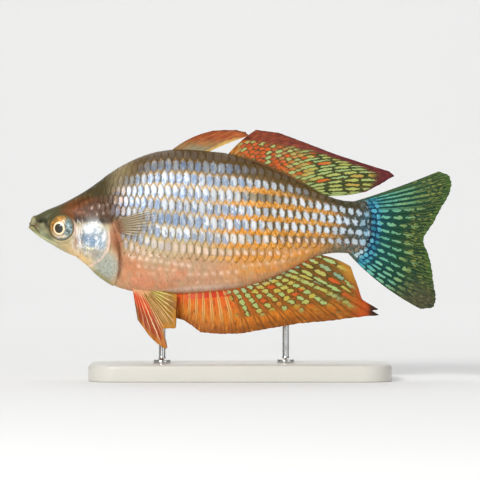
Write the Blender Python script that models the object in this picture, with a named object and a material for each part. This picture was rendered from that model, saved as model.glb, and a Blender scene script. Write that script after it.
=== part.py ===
"""A male checkered rainbowfish as a still, life-size museum model on a plain display stand.

The fish is laid out in its own side view, in millimetres: X runs back from the snout and Z up from
the long axis of the body. It is then set in the model's frame, in metres, with +Z up, the head
towards -X, and the origin on the table under the middle of the fish.
"""

import math

import bmesh
import bpy
import numpy as np
from mathutils import Matrix, Vector

MM = 0.001
GAP = 0.3  # between pieces that touch
LEFT, RIGHT = -1, 1  # the side's sign along Y

# Where the fish hangs over the table
SNOUT_X = -63.25
AXIS_HEIGHT = 46.1

# Outline of the body, as (X, Z) from the snout to the root of the tail fin
BACK_LINE = (
    (0.1, -0.4), (0.5, 1.8), (1.0, 2.75), (2.1, 3.2), (5.7, 4.95), (9.3, 6.4), (16.5, 10.3), (27.3, 17.8),
    (38.1, 22.2), (44.5, 23.0),
    (52.0, 22.6), (59.1, 21.8), (69.3, 18.6), (78.9, 14.3), (88.5, 9.4), (94.0, 7.7), (101.4, 7.5),
)
BELLY_LINE = (
    (0.1, -0.8), (2.1, -2.5), (9.3, -6.9), (14.7, -9.9), (21.9, -15.7), (25.5, -17.9), (29.1, -19.1), (38.1, -20.2),
    (50.7, -19.9), (63.3, -18.4), (75.9, -14.1), (87.0, -8.8), (91.5, -8.05), (96.3, -8.2), (101.4, -8.9),
)
# Half breadth of the body, as (X, half breadth)
HALF_BREADTH = (
    (0.1, 0.5), (0.7, 1.4), (2.1, 2.2), (5.7, 3.3), (9.3, 4.3), (16.5, 5.6), (27.3, 6.9),
    (40.0, 7.4), (57.0, 7.2), (72.0, 6.0), (84.0, 4.4), (94.0, 3.0), (101.4, 1.7),
)
# Height of the widest place as a share of the depth, from the belly
WIDEST_AT = ((0.1, 0.50), (10.0, 0.50), (27.0, 0.52), (50.0, 0.55), (90.0, 0.50), (101.4, 0.50))
# Power of the sine that rounds a section: under 1 is full, over 1 is a keel
BACK_POWER = ((0.1, 0.90), (5.0, 0.62), (12.0, 0.66), (22.0, 0.90), (40.0, 1.12), (90.0, 1.0), (101.4, 0.9))
BELLY_POWER = ((0.1, 0.90), (6.0, 0.80), (14.0, 0.82), (27.0, 0.86), (45.0, 0.95), (62.0, 1.08), (90.0, 1.0), (101.4, 0.9))

# Cuts between the lengths of the body, as (angle round the section in half turns, X), from back to belly
GILL_CUT = ((0.0, 23.4), (0.45, 24.8), (0.52, 25.6), (0.62, 27.2), (0.75, 27.0), (1.0, 25.2))
STALK_CUT_X = 89.3
TAIL_ROOT = ((0.0, 98.7), (0.25, 100.6), (0.5, 101.2), (0.75, 99.5), (1.0, 96.6))

EYE_PLACE = (9.95, -0.45)
EYE_RADIUS = 4.1
EYE_DEPTH = 1.7
EYE_STANDS_PROUD = 0.85
LID_RADIUS = 4.35
LID_HEIGHT = 0.3
PUPIL_RADIUS = 1.35
MOUTH_LINE = ((-1.2, 0.25), (0.9, 0.2), (1.7, -0.1), (3.1, -1.95), (6.9, -8.4))
MOUTH_CORNER_X = 3.1
LIP_HEIGHT = 0.28
NOSTRILS = ((3.55, 1.25, 0.42), (5.15, 1.25, 0.55))  # X, Z and radius
GILL_COVER_OUTLINE = (
    (24.4, -2.8), (23.9, 0.9), (20.6, 2.1), (17.3, 1.4), (16.5, -3.6), (17.0, -9.3), (19.8, -11.8), (23.2, -8.4),
)
GILL_COVER_THICK = 0.8
GILL_COVER_LIFT = 0.4

# Fins: roots along the body, and ray tips as (share of the rays from the front, X, Z)
DORSAL_FRONT_ROOTS = (42.3, 53.4)
DORSAL_FRONT_TIPS = (
    (0.0, 52.0, 27.7), (0.2, 55.2, 28.6), (0.4, 58.6, 28.8), (0.6, 62.2, 28.8), (0.8, 65.0, 28.2), (1.0, 66.2, 27.1),
)
DORSAL_REAR_ROOTS = (59.4, 88.2)
DORSAL_REAR_TIPS = (
    (0.0, 68.1, 28.9), (0.15, 75.0, 28.0), (0.31, 83.0, 25.0), (0.46, 92.0, 21.5), (0.61, 101.5, 18.4),
    (0.72, 108.3, 16.3), (0.78, 109.6, 15.0), (0.86, 105.2, 12.4), (0.93, 101.2, 10.3), (1.0, 96.6, 9.4),
)
ANAL_ROOTS = (44.0, 86.5)
ANAL_TIPS = (
    (0.0, 43.7, -27.6), (0.06, 46.2, -28.2), (0.12, 48.8, -29.9), (0.18, 51.4, -31.9), (0.27, 57.0, -32.4),
    (0.36, 63.5, -32.3), (0.45, 72.0, -30.8), (0.55, 81.0, -29.3), (0.65, 90.5, -28.5), (0.71, 97.0, -27.6),
    (0.762, 105.2, -26.8), (0.81, 101.8, -25.9), (0.857, 104.9, -25.0), (0.905, 100.2, -22.9),
    (0.952, 98.6, -18.0), (1.0, 96.4, -12.1),
)
TAIL_TIPS = (
    (0.0, 122.8, 16.4), (0.0625, 125.8, 15.2), (0.125, 126.7, 12.7), (0.1875, 126.2, 10.0), (0.3125, 123.2, 4.5),
    (0.375, 121.6, 1.3), (0.5, 118.4, -4.7), (0.5625, 119.6, -7.8), (0.625, 120.5, -10.9), (0.75, 121.4, -17.4),
    (0.875, 121.9, -22.4), (0.9375, 121.0, -24.4), (1.0, 117.4, -24.9),
)
PECTORAL_ROOT = ((26.0, 1.4), (27.2, -1.7))
PECTORAL_TIPS = (
    (0.0, 40.2, 5.6), (0.2, 40.5, 4.3), (0.4, 39.9, 2.6), (0.6, 38.6, 0.6), (0.8, 36.4, -1.6), (1.0, 33.2, -3.4),
)
PECTORAL_FLARE = 1.3  # how far the tips stand off the flank
PELVIC_ROOTS = (31.0, 35.6)
PELVIC_TIPS = (
    (0.0, 32.6, -28.0), (0.2, 36.2, -32.9), (0.3, 38.7, -35.3), (0.4, 41.4, -36.9), (0.6, 40.3, -30.7), (0.8, 44.0, -30.6),
    (1.0, 44.4, -20.4),
)
PELVIC_ROOT_Y = 1.9
PELVIC_SPLAY = 0.25  # sideways for each millimetre down

SPINES_FRONT = 6
RAYS_REAR = 14
RAYS_ANAL = 22
RAYS_TAIL = 17
RAYS_PECTORAL = 12
RAYS_PELVIC = 6
RAY_SIDE = 0.2  # half breadth of a ray, as a share of the ray spacing
MEMBRANE_HALF = 0.26
RAY_RISE = 0.2
EDGE_HALF = 0.2
ROOT_RISE = 0.4
ROOT_SHARE = 0.1  # of a ray's length, where the fleshy root thins into the fin
WEB_SHORTFALL = 0.012  # how much shorter the web is than its rays

BASE_LENGTH, BASE_BREADTH, BASE_HEIGHT = 90.0, 44.0, 5.0
BASE_CORNER, BASE_EDGE = 9.0, 0.9
ROD_RADIUS = 1.0
ROD_FOOT_RADIUS, ROD_FOOT_HEIGHT = 2.6, 0.9
ROD_FRONT_X, ROD_FRONT_Y = 39.9, 0.0
ROD_REAR_X, ROD_REAR_Y = 77.0, 3.3
ROD_SIDES = 20


def smooth_through(points):
    """A smooth function through (x, y) points, with slopes from the parabola through each three."""
    xs, ys = np.array(points, float).T
    step = np.diff(xs)
    slope = np.diff(ys) / step
    middle = (slope[:-1] * step[1:] + slope[1:] * step[:-1]) / (step[:-1] + step[1:])
    tangent = np.concatenate([slope[:1], middle, slope[-1:]])

    def value(x):
        x = np.asarray(x, float)
        k = np.clip(np.searchsorted(xs, x) - 1, 0, len(xs) - 2)
        t = (x - xs[k]) / step[k]
        return (
            (1 + 2 * t) * (1 - t) ** 2 * ys[k] + t * (1 - t) ** 2 * step[k] * tangent[k]
            + t * t * (3 - 2 * t) * ys[k + 1] + t * t * (t - 1) * step[k] * tangent[k + 1]
        )

    return value


back_z = smooth_through(BACK_LINE)
belly_z = smooth_through(BELLY_LINE)
half_breadth = smooth_through(HALF_BREADTH)
widest_at = smooth_through(WIDEST_AT)
back_power = smooth_through(BACK_POWER)
belly_power = smooth_through(BELLY_POWER)
gill_cut_x = smooth_through(GILL_CUT)
tail_root_x = smooth_through(TAIL_ROOT)


def widest_z(x):
    """Height of the widest place of the section at x."""
    return belly_z(x) + (back_z(x) - belly_z(x)) * widest_at(x)


def section(x, turn):
    """(half breadth, height) on the section at x, where turn is 0 at the back and 1 at the belly."""
    angle = math.pi * np.asarray(turn, float)
    lean, middle = np.cos(angle), widest_z(x)
    height = np.where(lean > 0, back_z(x) - middle, middle - belly_z(x))
    power = np.where(lean > 0, back_power(x), belly_power(x))
    return half_breadth(x) * np.abs(np.sin(angle)) ** power, middle + lean * height


def side_y(x, z):
    """Half breadth of the body at height z of the section at x."""
    middle = widest_z(x)
    above = z > middle
    height = np.where(above, back_z(x) - middle, middle - belly_z(x))
    lean = np.clip(np.abs(z - middle) / height, 0, 1)
    return half_breadth(x) * np.sqrt(1 - lean**2) ** np.where(above, back_power(x), belly_power(x))


def under_z(x, y):
    """Height of the underside of the body at a distance y from its middle plane."""
    sine = np.clip(np.abs(y) / half_breadth(x), 0, 1) ** (1 / belly_power(x))
    middle = widest_z(x)
    return middle - np.sqrt(1 - sine**2) * (middle - belly_z(x))


def placed(x, y, z):
    """The point in the model's frame, in metres."""
    return ((SNOUT_X + float(x)) * MM, float(y) * MM, (AXIS_HEIGHT + float(z)) * MM)


def finish_colour(name, colour, roughness, metallic=0.0):
    """A plain surface finish."""
    material = bpy.data.materials.new(name)
    material.use_nodes = True
    shader = material.node_tree.nodes["Principled BSDF"]
    shader.inputs["Base Color"].default_value = (*colour, 1.0)
    shader.inputs["Roughness"].default_value = roughness
    shader.inputs["Metallic"].default_value = metallic
    return material


def solid(name, points, faces, material):
    """A closed body from points in millimetres in the fish's own layout."""
    bm = bmesh.new()
    verts = [bm.verts.new(placed(*point)) for point in points]
    for face in faces:
        bm.faces.new([verts[k] for k in face])
    return solid_from(name, bm, material)


def solid_from(name, bm, material):
    """An object that takes over the bmesh, with its faces turned outwards and shaded smooth."""
    bmesh.ops.recalc_face_normals(bm, faces=bm.faces)
    mesh = bpy.data.meshes.new(name)
    bm.to_mesh(mesh)
    bm.free()
    mesh.shade_smooth()
    mesh.set_sharp_from_angle(angle=math.radians(35))
    mesh.materials.append(material)
    obj = bpy.data.objects.new(name, mesh)
    bpy.context.scene.collection.objects.link(obj)
    return obj


def largest_shells(bm):
    """The closed surfaces in a bmesh as lists of faces, the largest first."""
    left, shells = set(bm.faces), []
    while left:
        edge_of_search, shell = [left.pop()], []
        while edge_of_search:
            face = edge_of_search.pop()
            shell.append(face)
            near = {other for edge in face.edges for other in edge.link_faces} & left
            left -= near
            edge_of_search.extend(near)
        shells.append(shell)
    return sorted(shells, key=lambda shell: -sum(face.calc_area() for face in shell))


def cut_away(obj, cutters):
    """Takes the cutters out of the object, and removes them."""
    for cutter in cutters:
        modifier = obj.modifiers.new("cut", "BOOLEAN")
        modifier.operation = "DIFFERENCE"
        modifier.object = cutter
    bpy.context.view_layer.update()
    evaluated = obj.evaluated_get(bpy.context.evaluated_depsgraph_get())
    mesh = bpy.data.meshes.new_from_object(evaluated)
    obj.modifiers.clear()
    obj.data = mesh
    for cutter in cutters:
        bpy.data.objects.remove(cutter)


def part_off(obj, shell_names):
    """Shares out the closed surfaces of an object, the largest first, one to each name."""
    bm = bmesh.new()
    bm.from_mesh(obj.data)
    count = len(largest_shells(bm))
    bm.free()
    assert count >= len(shell_names), f"{obj.name} came apart in {count} pieces"
    for rank, name in enumerate(shell_names):
        bm = bmesh.new()
        bm.from_mesh(obj.data)
        others = [face for k, shell in enumerate(largest_shells(bm)) if k != rank for face in shell]
        bmesh.ops.delete(bm, geom=others, context="FACES")
        solid_from(name, bm, obj.data.materials[0])
    bpy.data.objects.remove(obj)


def length_of_body(name, stations, sides, front_x, rear_x, material, spacing=1.0, dress=None):
    """A closed length of the body between two cuts, each a function of the turn round the section.

    dress moves a surface point outwards for the low forms on the head, such as lips and lids.
    """
    turns = np.linspace(0, 1, sides + 1)
    shares = np.linspace(0, 1, stations + 1) ** spacing
    rings = []
    for share in shares:
        x = front_x(turns) + (rear_x(turns) - front_x(turns)) * share
        y, z = section(x, turns)
        if dress:
            y = y + dress(x, z) * np.sin(math.pi * turns)
        near = [(x[k], -y[k], z[k]) for k in range(sides + 1)]
        far = [(x[k], y[k], z[k]) for k in range(sides - 1, 0, -1)]
        rings.append(near + far)
    around = 2 * sides
    points = [point for ring in rings for point in ring]
    faces = [
        (r * around + k, r * around + (k + 1) % around, (r + 1) * around + (k + 1) % around, (r + 1) * around + k)
        for r in range(stations)
        for k in range(around)
    ]
    for first in (0, stations * around):
        for k in range(sides):
            cap = [first + k, first + k + 1, first + (around - k - 1) % around, first + (around - k) % around]
            faces.append(tuple(dict.fromkeys(cap)))
    return solid(name, points, faces, material)


def distance_to_mouth(x, z):
    """Distance in the side view from the line of the mouth, in front of its corner."""
    nearest = np.full(np.shape(x), 99.0)
    line = [point for point in MOUTH_LINE if point[0] <= MOUTH_CORNER_X]
    for (x0, z0), (x1, z1) in zip(line, line[1:]):
        run, rise = x1 - x0, z1 - z0
        t = np.clip(((x - x0) * run + (z - z0) * rise) / (run**2 + rise**2), 0, 1)
        nearest = np.minimum(nearest, np.hypot(x - x0 - t * run, z - z0 - t * rise))
    return nearest


def head_forms(x, z):
    """Height of the lips and of the skin round the eye over the plain head."""
    from_eye = np.hypot(x - EYE_PLACE[0], z - EYE_PLACE[1])
    lid = LID_HEIGHT * np.exp(-(((from_eye - LID_RADIUS) / 0.6) ** 2))
    lips = LIP_HEIGHT * np.exp(-(((distance_to_mouth(x, z) - 0.45) / 0.4) ** 2))
    return lid + lips


def mouth_cutter():
    """A thin bent slab along the mouth and down behind the lower jaw."""
    line = np.array(MOUTH_LINE)
    run = np.gradient(line, axis=0)
    across = np.stack([-run[:, 1], run[:, 0]], axis=1) / np.linalg.norm(run, axis=1)[:, None]
    loop = [*(line + across * GAP / 2), *(line - across * GAP / 2)[::-1]]
    reach, count = 9.0, len(loop)
    points = [(x, y, z) for y in (-reach, reach) for x, z in loop]
    faces = []
    half = count // 2
    for k in range(count):
        faces.append((k, (k + 1) % count, count + (k + 1) % count, count + k))
    for first in (0, count):
        for k in range(half - 1):
            faces.append((first + k, first + k + 1, first + count - 2 - k, first + count - 1 - k))
    return solid("mouth_cutter", points, faces, bpy.data.materials["skin"])


def ellipsoid(name, centre, radii, turn, material, segments=20, rings=12):
    """A ball squeezed to three radii, turned and then placed at a point of the fish's layout."""
    bm = bmesh.new()
    bmesh.ops.create_uvsphere(bm, u_segments=segments, v_segments=rings, radius=1.0)
    size = Matrix.Diagonal((*(radius * MM for radius in radii), 1.0))
    place = Matrix.Translation(Vector(placed(*centre))) @ turn @ size
    bmesh.ops.transform(bm, matrix=place, verts=bm.verts)
    return solid_from(name, bm, material)


def eye_frame(side):
    """(centre of the eyeball, turn that lays its axis along the outward direction of the cheek)."""
    x, z = EYE_PLACE
    step = 1.0
    slope_x = float(side_y(x + step, z) - side_y(x - step, z)) / (2 * step)
    slope_z = float(side_y(x, z + step) - side_y(x, z - step)) / (2 * step)
    outward = Vector((-slope_x, side, -slope_z)).normalized()
    surface = Vector((x, side * float(side_y(x, z)), z))
    centre = surface + outward * (EYE_STANDS_PROUD - EYE_DEPTH)
    return centre, outward.to_track_quat("Z", "Y").to_matrix().to_4x4()


def make_eye(name, side, grow, material):
    """An eyeball, or with grow the hollow that it sits in."""
    centre, turn = eye_frame(side)
    radius, depth = EYE_RADIUS + grow, EYE_DEPTH + grow
    return ellipsoid(name, centre, (radius, radius, depth), turn, material)


def make_pupil_step(eye, side):
    """Sinks a flat pupil into the eyeball."""
    centre, turn = eye_frame(side)
    outward = turn.to_3x3() @ Vector((0, 0, 1))
    front = centre + outward * (EYE_DEPTH + 1.0 - 0.18)
    ring = ellipsoid("pupil_cutter", front, (PUPIL_RADIUS, PUPIL_RADIUS, 1.0), turn, eye.data.materials[0], 16, 8)
    cut_away(eye, [ring])


def gill_cover(name, side, grow, material):
    """The plate over the gills, or with grow the recess that it lies in."""
    outline = np.array(GILL_COVER_OUTLINE)
    middle = outline.mean(axis=0)
    around = len(outline) * 3
    shares = np.arange(len(outline) * 2 + 1) / (len(outline) * 2)
    twice = np.vstack([outline, outline, outline[:1]])
    spin = np.linspace(0.25, 0.75, around, endpoint=False)
    rim = np.stack([smooth_through(np.column_stack([shares, twice[:, k]]))(spin) for k in (0, 1)], axis=1)
    out = (rim - middle) / np.linalg.norm(rim - middle, axis=1)[:, None]
    rim = rim + out * grow
    outer, inner = [], []
    inner_depth = GILL_COVER_THICK + grow
    rear = np.clip((rim[:, 0] - middle[0]) / 4.0, 0, 1)
    for share in (1.0, 0.82, 0.45):
        ring = middle + (rim - middle) * share
        y = side_y(ring[:, 0], ring[:, 1])
        lift = 2.5 if grow else GILL_COVER_LIFT * (0.35 + 0.65 * rear * share) * (0.4 if share == 1.0 else 1.0)
        outer.append([(x, side * (v + l), z) for (x, z), v, l in zip(ring, y, np.broadcast_to(lift, around))])
        inner.append([(x, side * (v - inner_depth), z) for (x, z), v in zip(ring, y)])
    y = float(side_y(*middle))
    lift = 2.5 if grow else GILL_COVER_LIFT * 0.5
    points = [p for ring in outer + inner for p in ring]
    points += [(middle[0], side * (y + lift), middle[1]), (middle[0], side * (y - inner_depth), middle[1])]
    rings, outer_pole, inner_pole = len(outer), len(points) - 2, len(points) - 1
    faces = []
    for k in range(around):
        after = (k + 1) % around
        for first in (0, rings):
            for r in range(first, first + rings - 1):
                faces.append((r * around + k, r * around + after, (r + 1) * around + after, (r + 1) * around + k))
        faces.append(((rings - 1) * around + k, (rings - 1) * around + after, outer_pole))
        faces.append(((2 * rings - 1) * around + k, (2 * rings - 1) * around + after, inner_pole))
        faces.append((k, after, rings * around + after, rings * around + k))
    return solid(name, points, faces, material)


def make_head(skin, cover_finish, eye_finish):
    """The head with its sockets, nostrils and mouth, the lower jaw, the gill covers and the eyes."""
    whole = length_of_body(
        "whole_head", 34, 22, lambda turn: np.full(turn.shape, 0.1), gill_cut_x, skin, spacing=1.35, dress=head_forms
    )
    cutters = [mouth_cutter()]
    for side in (LEFT, RIGHT):
        cutters.append(make_eye("socket", side, GAP, eye_finish))
        cutters.append(gill_cover("recess", side, GAP, cover_finish))
        for x, z, radius in NOSTRILS:
            y = side * float(side_y(x, z))
            cutters.append(ellipsoid("nostril", (x, y, z), (radius,) * 3, Matrix.Identity(4), skin, 10, 6))
    cut_away(whole, cutters)
    part_off(whole, ("head", "lower_jaw"))
    for side, word in ((LEFT, "left"), (RIGHT, "right")):
        gill_cover(f"gill_cover_{word}", side, 0.0, cover_finish)
        eye = make_eye(f"eye_{word}", side, 0.0, eye_finish)
        make_pupil_step(eye, side)


def make_trunk_and_stalk(skin, stalk_skin):
    """The trunk behind the gills and the narrow stalk that carries the tail fin."""
    length_of_body(
        "trunk", 18, 16, lambda turn: gill_cut_x(turn) + GAP, lambda turn: np.full(turn.shape, STALK_CUT_X), skin
    )
    length_of_body(
        "tail_stalk", 6, 14, lambda turn: np.full(turn.shape, STALK_CUT_X + GAP), tail_root_x, stalk_skin
    )


def ray_columns(count):
    """[(place from 0 to 1 across the fin, whether it is a ray's crest)], three for each ray."""
    columns = []
    for k in range(count):
        if k > 0:
            columns.append(((k - RAY_SIDE) / (count - 1), False))
        columns.append((k / (count - 1), True))
        if k < count - 1:
            columns.append(((k + RAY_SIDE) / (count - 1), False))
    return columns


def tip_of(tips, place):
    """Tip of the ray at that place across the fin, on straight lines between the named tips."""
    table = np.array(tips)
    return np.array([np.interp(place, table[:, 0], table[:, k]) for k in (1, 2)])


def fin(name, rays, root, tips, bow, sideways, material, rows=(0.0, 0.07, 0.3, 0.55, 0.8, 1.0), root_rise=None,
        normal=(0.0, 1.0, 0.0)):
    """A closed web with its rays raised on both faces.

    root(place) gives the (X, Z) where the ray at that place across the fin starts, bow(place) how far
    its middle stands off the straight line as a share of its length, and sideways(x, z, place, share)
    the Y of the web's middle. Both faces are split into triangles alike.
    """
    out = np.array(normal) / np.linalg.norm(normal)
    near, far = [], []
    columns = ray_columns(rays)
    for place, crest in columns:
        start, tip = np.array(root(place)), tip_of(tips, place)
        length = np.linalg.norm(tip - start)
        across = np.array([-(tip - start)[1], (tip - start)[0]]) / length
        for share in rows:
            reach = share * (1 if crest else 1 - WEB_SHORTFALL)
            x, z = start + (tip - start) * reach + across * bow(place) * length * 4 * reach * (1 - reach)
            centre = np.array([x, sideways(x, z, place, share), z])
            thin = MEMBRANE_HALF + (EDGE_HALF - MEMBRANE_HALF) * share**3
            half = thin + (RAY_RISE * (1 - 0.7 * share) if crest else 0.0)
            rise = ROOT_RISE if root_rise is None else root_rise(place)
            half += rise * max(0.0, 1 - share / ROOT_SHARE) ** 2
            near.append(centre - out * half)
            far.append(centre + out * half)
    count, depth = len(columns), len(rows)
    total = count * depth
    faces = []
    for c in range(count - 1):
        for r in range(depth - 1):
            a, b = c * depth + r, (c + 1) * depth + r
            for first in (0, total):
                faces.append((first + a, first + b, first + b + 1))
                faces.append((first + a, first + b + 1, first + a + 1))
    rim = [c * depth for c in range(count)]
    rim += [(count - 1) * depth + r for r in range(1, depth)]
    rim += [c * depth + depth - 1 for c in range(count - 2, -1, -1)]
    rim += [r for r in range(depth - 2, 0, -1)]
    for a, b in zip(rim, rim[1:] + rim[:1]):
        faces.append((a, b, total + b))
        faces.append((a, total + b, total + a))
    return solid(name, near + far, faces, material)


def span(ends, place):
    """The value that share of the way from one end to the other."""
    return ends[0] + (ends[1] - ends[0]) * place


def make_median_fins(finishes):
    """The two dorsal fins, the anal fin and the tail fin."""

    def on_back(ends):
        return lambda place: (span(ends, place), back_z(span(ends, place)) + GAP)

    def on_belly(ends):
        return lambda place: (span(ends, place), belly_z(span(ends, place)) - GAP)

    fin(
        "dorsal_fin_front", SPINES_FRONT, on_back(DORSAL_FRONT_ROOTS), DORSAL_FRONT_TIPS,
        bow=lambda place: 0.05 - 0.03 * place,
        sideways=lambda x, z, place, share: -1.7 * share**1.3,
        material=finishes["dorsal_front"], rows=(0.0, 0.1, 0.4, 0.7, 1.0),
    )
    fin(
        "dorsal_fin_rear", RAYS_REAR, on_back(DORSAL_REAR_ROOTS), DORSAL_REAR_TIPS,
        bow=lambda place: 0.04 + 0.05 * math.sin(math.pi * min(place / 0.85, 1.0)) - 0.4 * max(0.0, place - 0.85),
        sideways=lambda x, z, place, share: 0.9 * share**1.5 * math.sin(2.2 * math.pi * place + 0.4),
        material=finishes["dorsal_rear"],
    )
    fin(
        "anal_fin", RAYS_ANAL, on_belly(ANAL_ROOTS), ANAL_TIPS,
        bow=lambda place: 0.02 + 0.03 * place**2 - 0.04 * math.exp(-((place - 0.84) / 0.06) ** 2),
        sideways=lambda x, z, place, share: 1.1 * share**1.5 * math.sin(2.6 * math.pi * place + 2.4),
        material=finishes["anal"],
    )

    def tail_ray(place):
        x = tail_root_x(place)
        return x + GAP, section(x, place)[1]

    fin(
        "tail_fin", RAYS_TAIL, tail_ray, TAIL_TIPS,
        bow=lambda place: -0.012 - 0.033 * place,
        sideways=lambda x, z, place, share: 1.7 * share**1.6 * math.sin(1.7 * math.pi * place - 0.9),
        material=finishes["tail"],
        root_rise=lambda place: 0.15 + 0.85 * math.sin(math.pi * place),
    )


def make_paired_fins(pectoral_finish, pelvic_finish):
    """The pectoral fins, which lie along the flanks, and the pelvic fins under the belly."""
    (x0, z0), (x1, z1) = PECTORAL_ROOT

    def pectoral_ray(place):
        return x0 + (x1 - x0) * place, z0 + (z1 - z0) * place

    def pelvic_ray(place):
        x = span(PELVIC_ROOTS, place)
        return x, float(under_z(x, PELVIC_ROOT_Y)) - GAP

    for side, word in ((LEFT, "left"), (RIGHT, "right")):

        def along_flank(x, z, place, share, side=side):
            stand_off = GAP + MEMBRANE_HALF + RAY_RISE + 0.4 * max(0.0, 1 - share / ROOT_SHARE) ** 2
            return side * (float(side_y(x, z)) + stand_off + PECTORAL_FLARE * share**1.5)

        fin(
            f"pectoral_fin_{word}", RAYS_PECTORAL, pectoral_ray, PECTORAL_TIPS,
            bow=lambda place: 0.03 - 0.06 * place, sideways=along_flank, material=pectoral_finish,
            rows=(0.0, 0.08, 0.35, 0.7, 1.0),
        )

        def splayed(x, z, place, share, side=side):
            return side * (PELVIC_ROOT_Y + PELVIC_SPLAY * max(0.0, -20.0 - z) + 0.3 * share)

        fin(
            f"pelvic_fin_{word}", RAYS_PELVIC, pelvic_ray, PELVIC_TIPS,
            bow=lambda place: 0.02 * place, sideways=splayed, material=pelvic_finish,
            normal=(0.0, 1.0, side * PELVIC_SPLAY),
        )


def make_base(finish):
    """A flat base with round corners and a broken top edge."""
    bm = bmesh.new()
    bmesh.ops.create_cube(bm, size=1.0)
    size = Matrix.Diagonal((BASE_LENGTH * MM, BASE_BREADTH * MM, BASE_HEIGHT * MM, 1.0))
    bmesh.ops.transform(bm, matrix=Matrix.Translation((0, 0, BASE_HEIGHT * MM / 2)) @ size, verts=bm.verts)
    upright = [e for e in bm.edges if abs(e.verts[0].co.z - e.verts[1].co.z) > BASE_HEIGHT * MM / 2]
    bmesh.ops.bevel(bm, geom=upright, offset=BASE_CORNER * MM, segments=8, affect="EDGES", profile=0.5)
    top = max(bm.faces, key=lambda face: face.calc_center_median().z)
    bmesh.ops.bevel(bm, geom=list(top.edges), offset=BASE_EDGE * MM, segments=3, affect="EDGES", profile=0.5)
    solid_from("stand_base", bm, finish)


def make_rod(name, x, y, finish):
    """A rod from the base up to the underside of the body, with a foot disc, its top shaped to the body."""
    floor_z = -AXIS_HEIGHT + BASE_HEIGHT + GAP
    profile = ((ROD_FOOT_RADIUS, 0.0), (ROD_FOOT_RADIUS, ROD_FOOT_HEIGHT * 0.6), (ROD_FOOT_RADIUS - 0.3, ROD_FOOT_HEIGHT),
               (ROD_RADIUS, ROD_FOOT_HEIGHT))
    angles = np.linspace(0, 2 * math.pi, ROD_SIDES, endpoint=False)
    ring = np.stack([np.cos(angles), np.sin(angles)], axis=1)
    points = [(x + r * c, y + r * s, floor_z + h) for r, h in profile for c, s in ring]
    top = [(x + ROD_RADIUS * c, y + ROD_RADIUS * s) for c, s in ring]
    points += [(px, py, float(under_z(px, py)) - GAP) for px, py in top]
    points += [(x, y, floor_z), (x, y, float(under_z(x, y)) - GAP)]
    rings = len(profile) + 1
    foot, head = len(points) - 2, len(points) - 1
    faces = []
    for k in range(ROD_SIDES):
        after = (k + 1) % ROD_SIDES
        for r in range(rings - 1):
            faces.append((r * ROD_SIDES + k, r * ROD_SIDES + after, (r + 1) * ROD_SIDES + after, (r + 1) * ROD_SIDES + k))
        faces.append((k, after, foot))
        faces.append(((rings - 1) * ROD_SIDES + k, (rings - 1) * ROD_SIDES + after, head))
    solid(name, points, faces, finish)


def main():
    for obj in list(bpy.data.objects):
        bpy.data.objects.remove(obj)
    skin = finish_colour("skin", (0.55, 0.45, 0.33), 0.35, 0.2)
    stalk_skin = finish_colour("stalk_skin", (0.40, 0.40, 0.32), 0.35, 0.2)
    cover_finish = finish_colour("gill_cover", (0.62, 0.66, 0.68), 0.25, 0.5)
    eye_finish = finish_colour("eye", (0.60, 0.45, 0.22), 0.15)
    steel = finish_colour("steel", (0.62, 0.62, 0.60), 0.3, 1.0)
    lacquer = finish_colour("lacquer", (0.80, 0.79, 0.76), 0.35)
    finishes = {
        "dorsal_front": finish_colour("dorsal_front", (0.35, 0.12, 0.04), 0.45),
        "dorsal_rear": finish_colour("dorsal_rear", (0.40, 0.13, 0.05), 0.45),
        "anal": finish_colour("anal", (0.62, 0.26, 0.04), 0.45),
        "tail": finish_colour("tail", (0.05, 0.20, 0.15), 0.45),
    }
    make_head(skin, cover_finish, eye_finish)
    make_trunk_and_stalk(skin, stalk_skin)
    make_median_fins(finishes)
    make_paired_fins(
        finish_colour("pectoral", (0.60, 0.55, 0.42), 0.4), finish_colour("pelvic", (0.55, 0.20, 0.05), 0.45)
    )
    make_base(lacquer)
    make_rod("stand_rod_front", ROD_FRONT_X, ROD_FRONT_Y, steel)
    make_rod("stand_rod_rear", ROD_REAR_X, ROD_REAR_Y, steel)


main()
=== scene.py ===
"""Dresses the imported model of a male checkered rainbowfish, a still life-size museum piece on its stand.

Shapes are laid out in the fish's own side view, in millimetres: X runs back from the snout, Z up from
the long axis of the body, and -Y is the fish's left. in_frame() sets them in the model's frame.
"""

import logging
import math
from dataclasses import dataclass, field
from enum import Enum
from typing import Any, Callable, Sequence

import bpy
import numpy as np
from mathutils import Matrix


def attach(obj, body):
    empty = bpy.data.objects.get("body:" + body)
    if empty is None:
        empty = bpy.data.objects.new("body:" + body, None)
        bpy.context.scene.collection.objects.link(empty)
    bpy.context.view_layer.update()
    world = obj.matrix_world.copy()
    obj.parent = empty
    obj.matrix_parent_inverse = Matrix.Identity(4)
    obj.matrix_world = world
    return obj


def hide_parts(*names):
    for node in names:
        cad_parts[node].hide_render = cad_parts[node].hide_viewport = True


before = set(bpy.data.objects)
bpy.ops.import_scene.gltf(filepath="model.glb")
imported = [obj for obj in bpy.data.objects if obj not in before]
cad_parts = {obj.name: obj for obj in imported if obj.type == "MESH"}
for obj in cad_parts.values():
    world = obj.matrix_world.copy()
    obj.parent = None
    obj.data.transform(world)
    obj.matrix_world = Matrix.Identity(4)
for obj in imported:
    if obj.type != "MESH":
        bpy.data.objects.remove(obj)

Array = np.ndarray
Colour = tuple[float, float, float]
Line = tuple[tuple[float, float], ...]
Table = tuple[tuple[float, float, float], ...]

LOG = logging.getLogger("rainbowfish")
MM = 0.001
SNOUT_X, AXIS_HEIGHT = -63.25, 46.1


class Side(Enum):
    """The two sides of the fish, with their sign along Y."""

    LEFT = -1
    RIGHT = 1

    @property
    def word(self) -> str:
        """The side's word in the names of nodes and pieces."""
        return self.name.lower()


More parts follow.
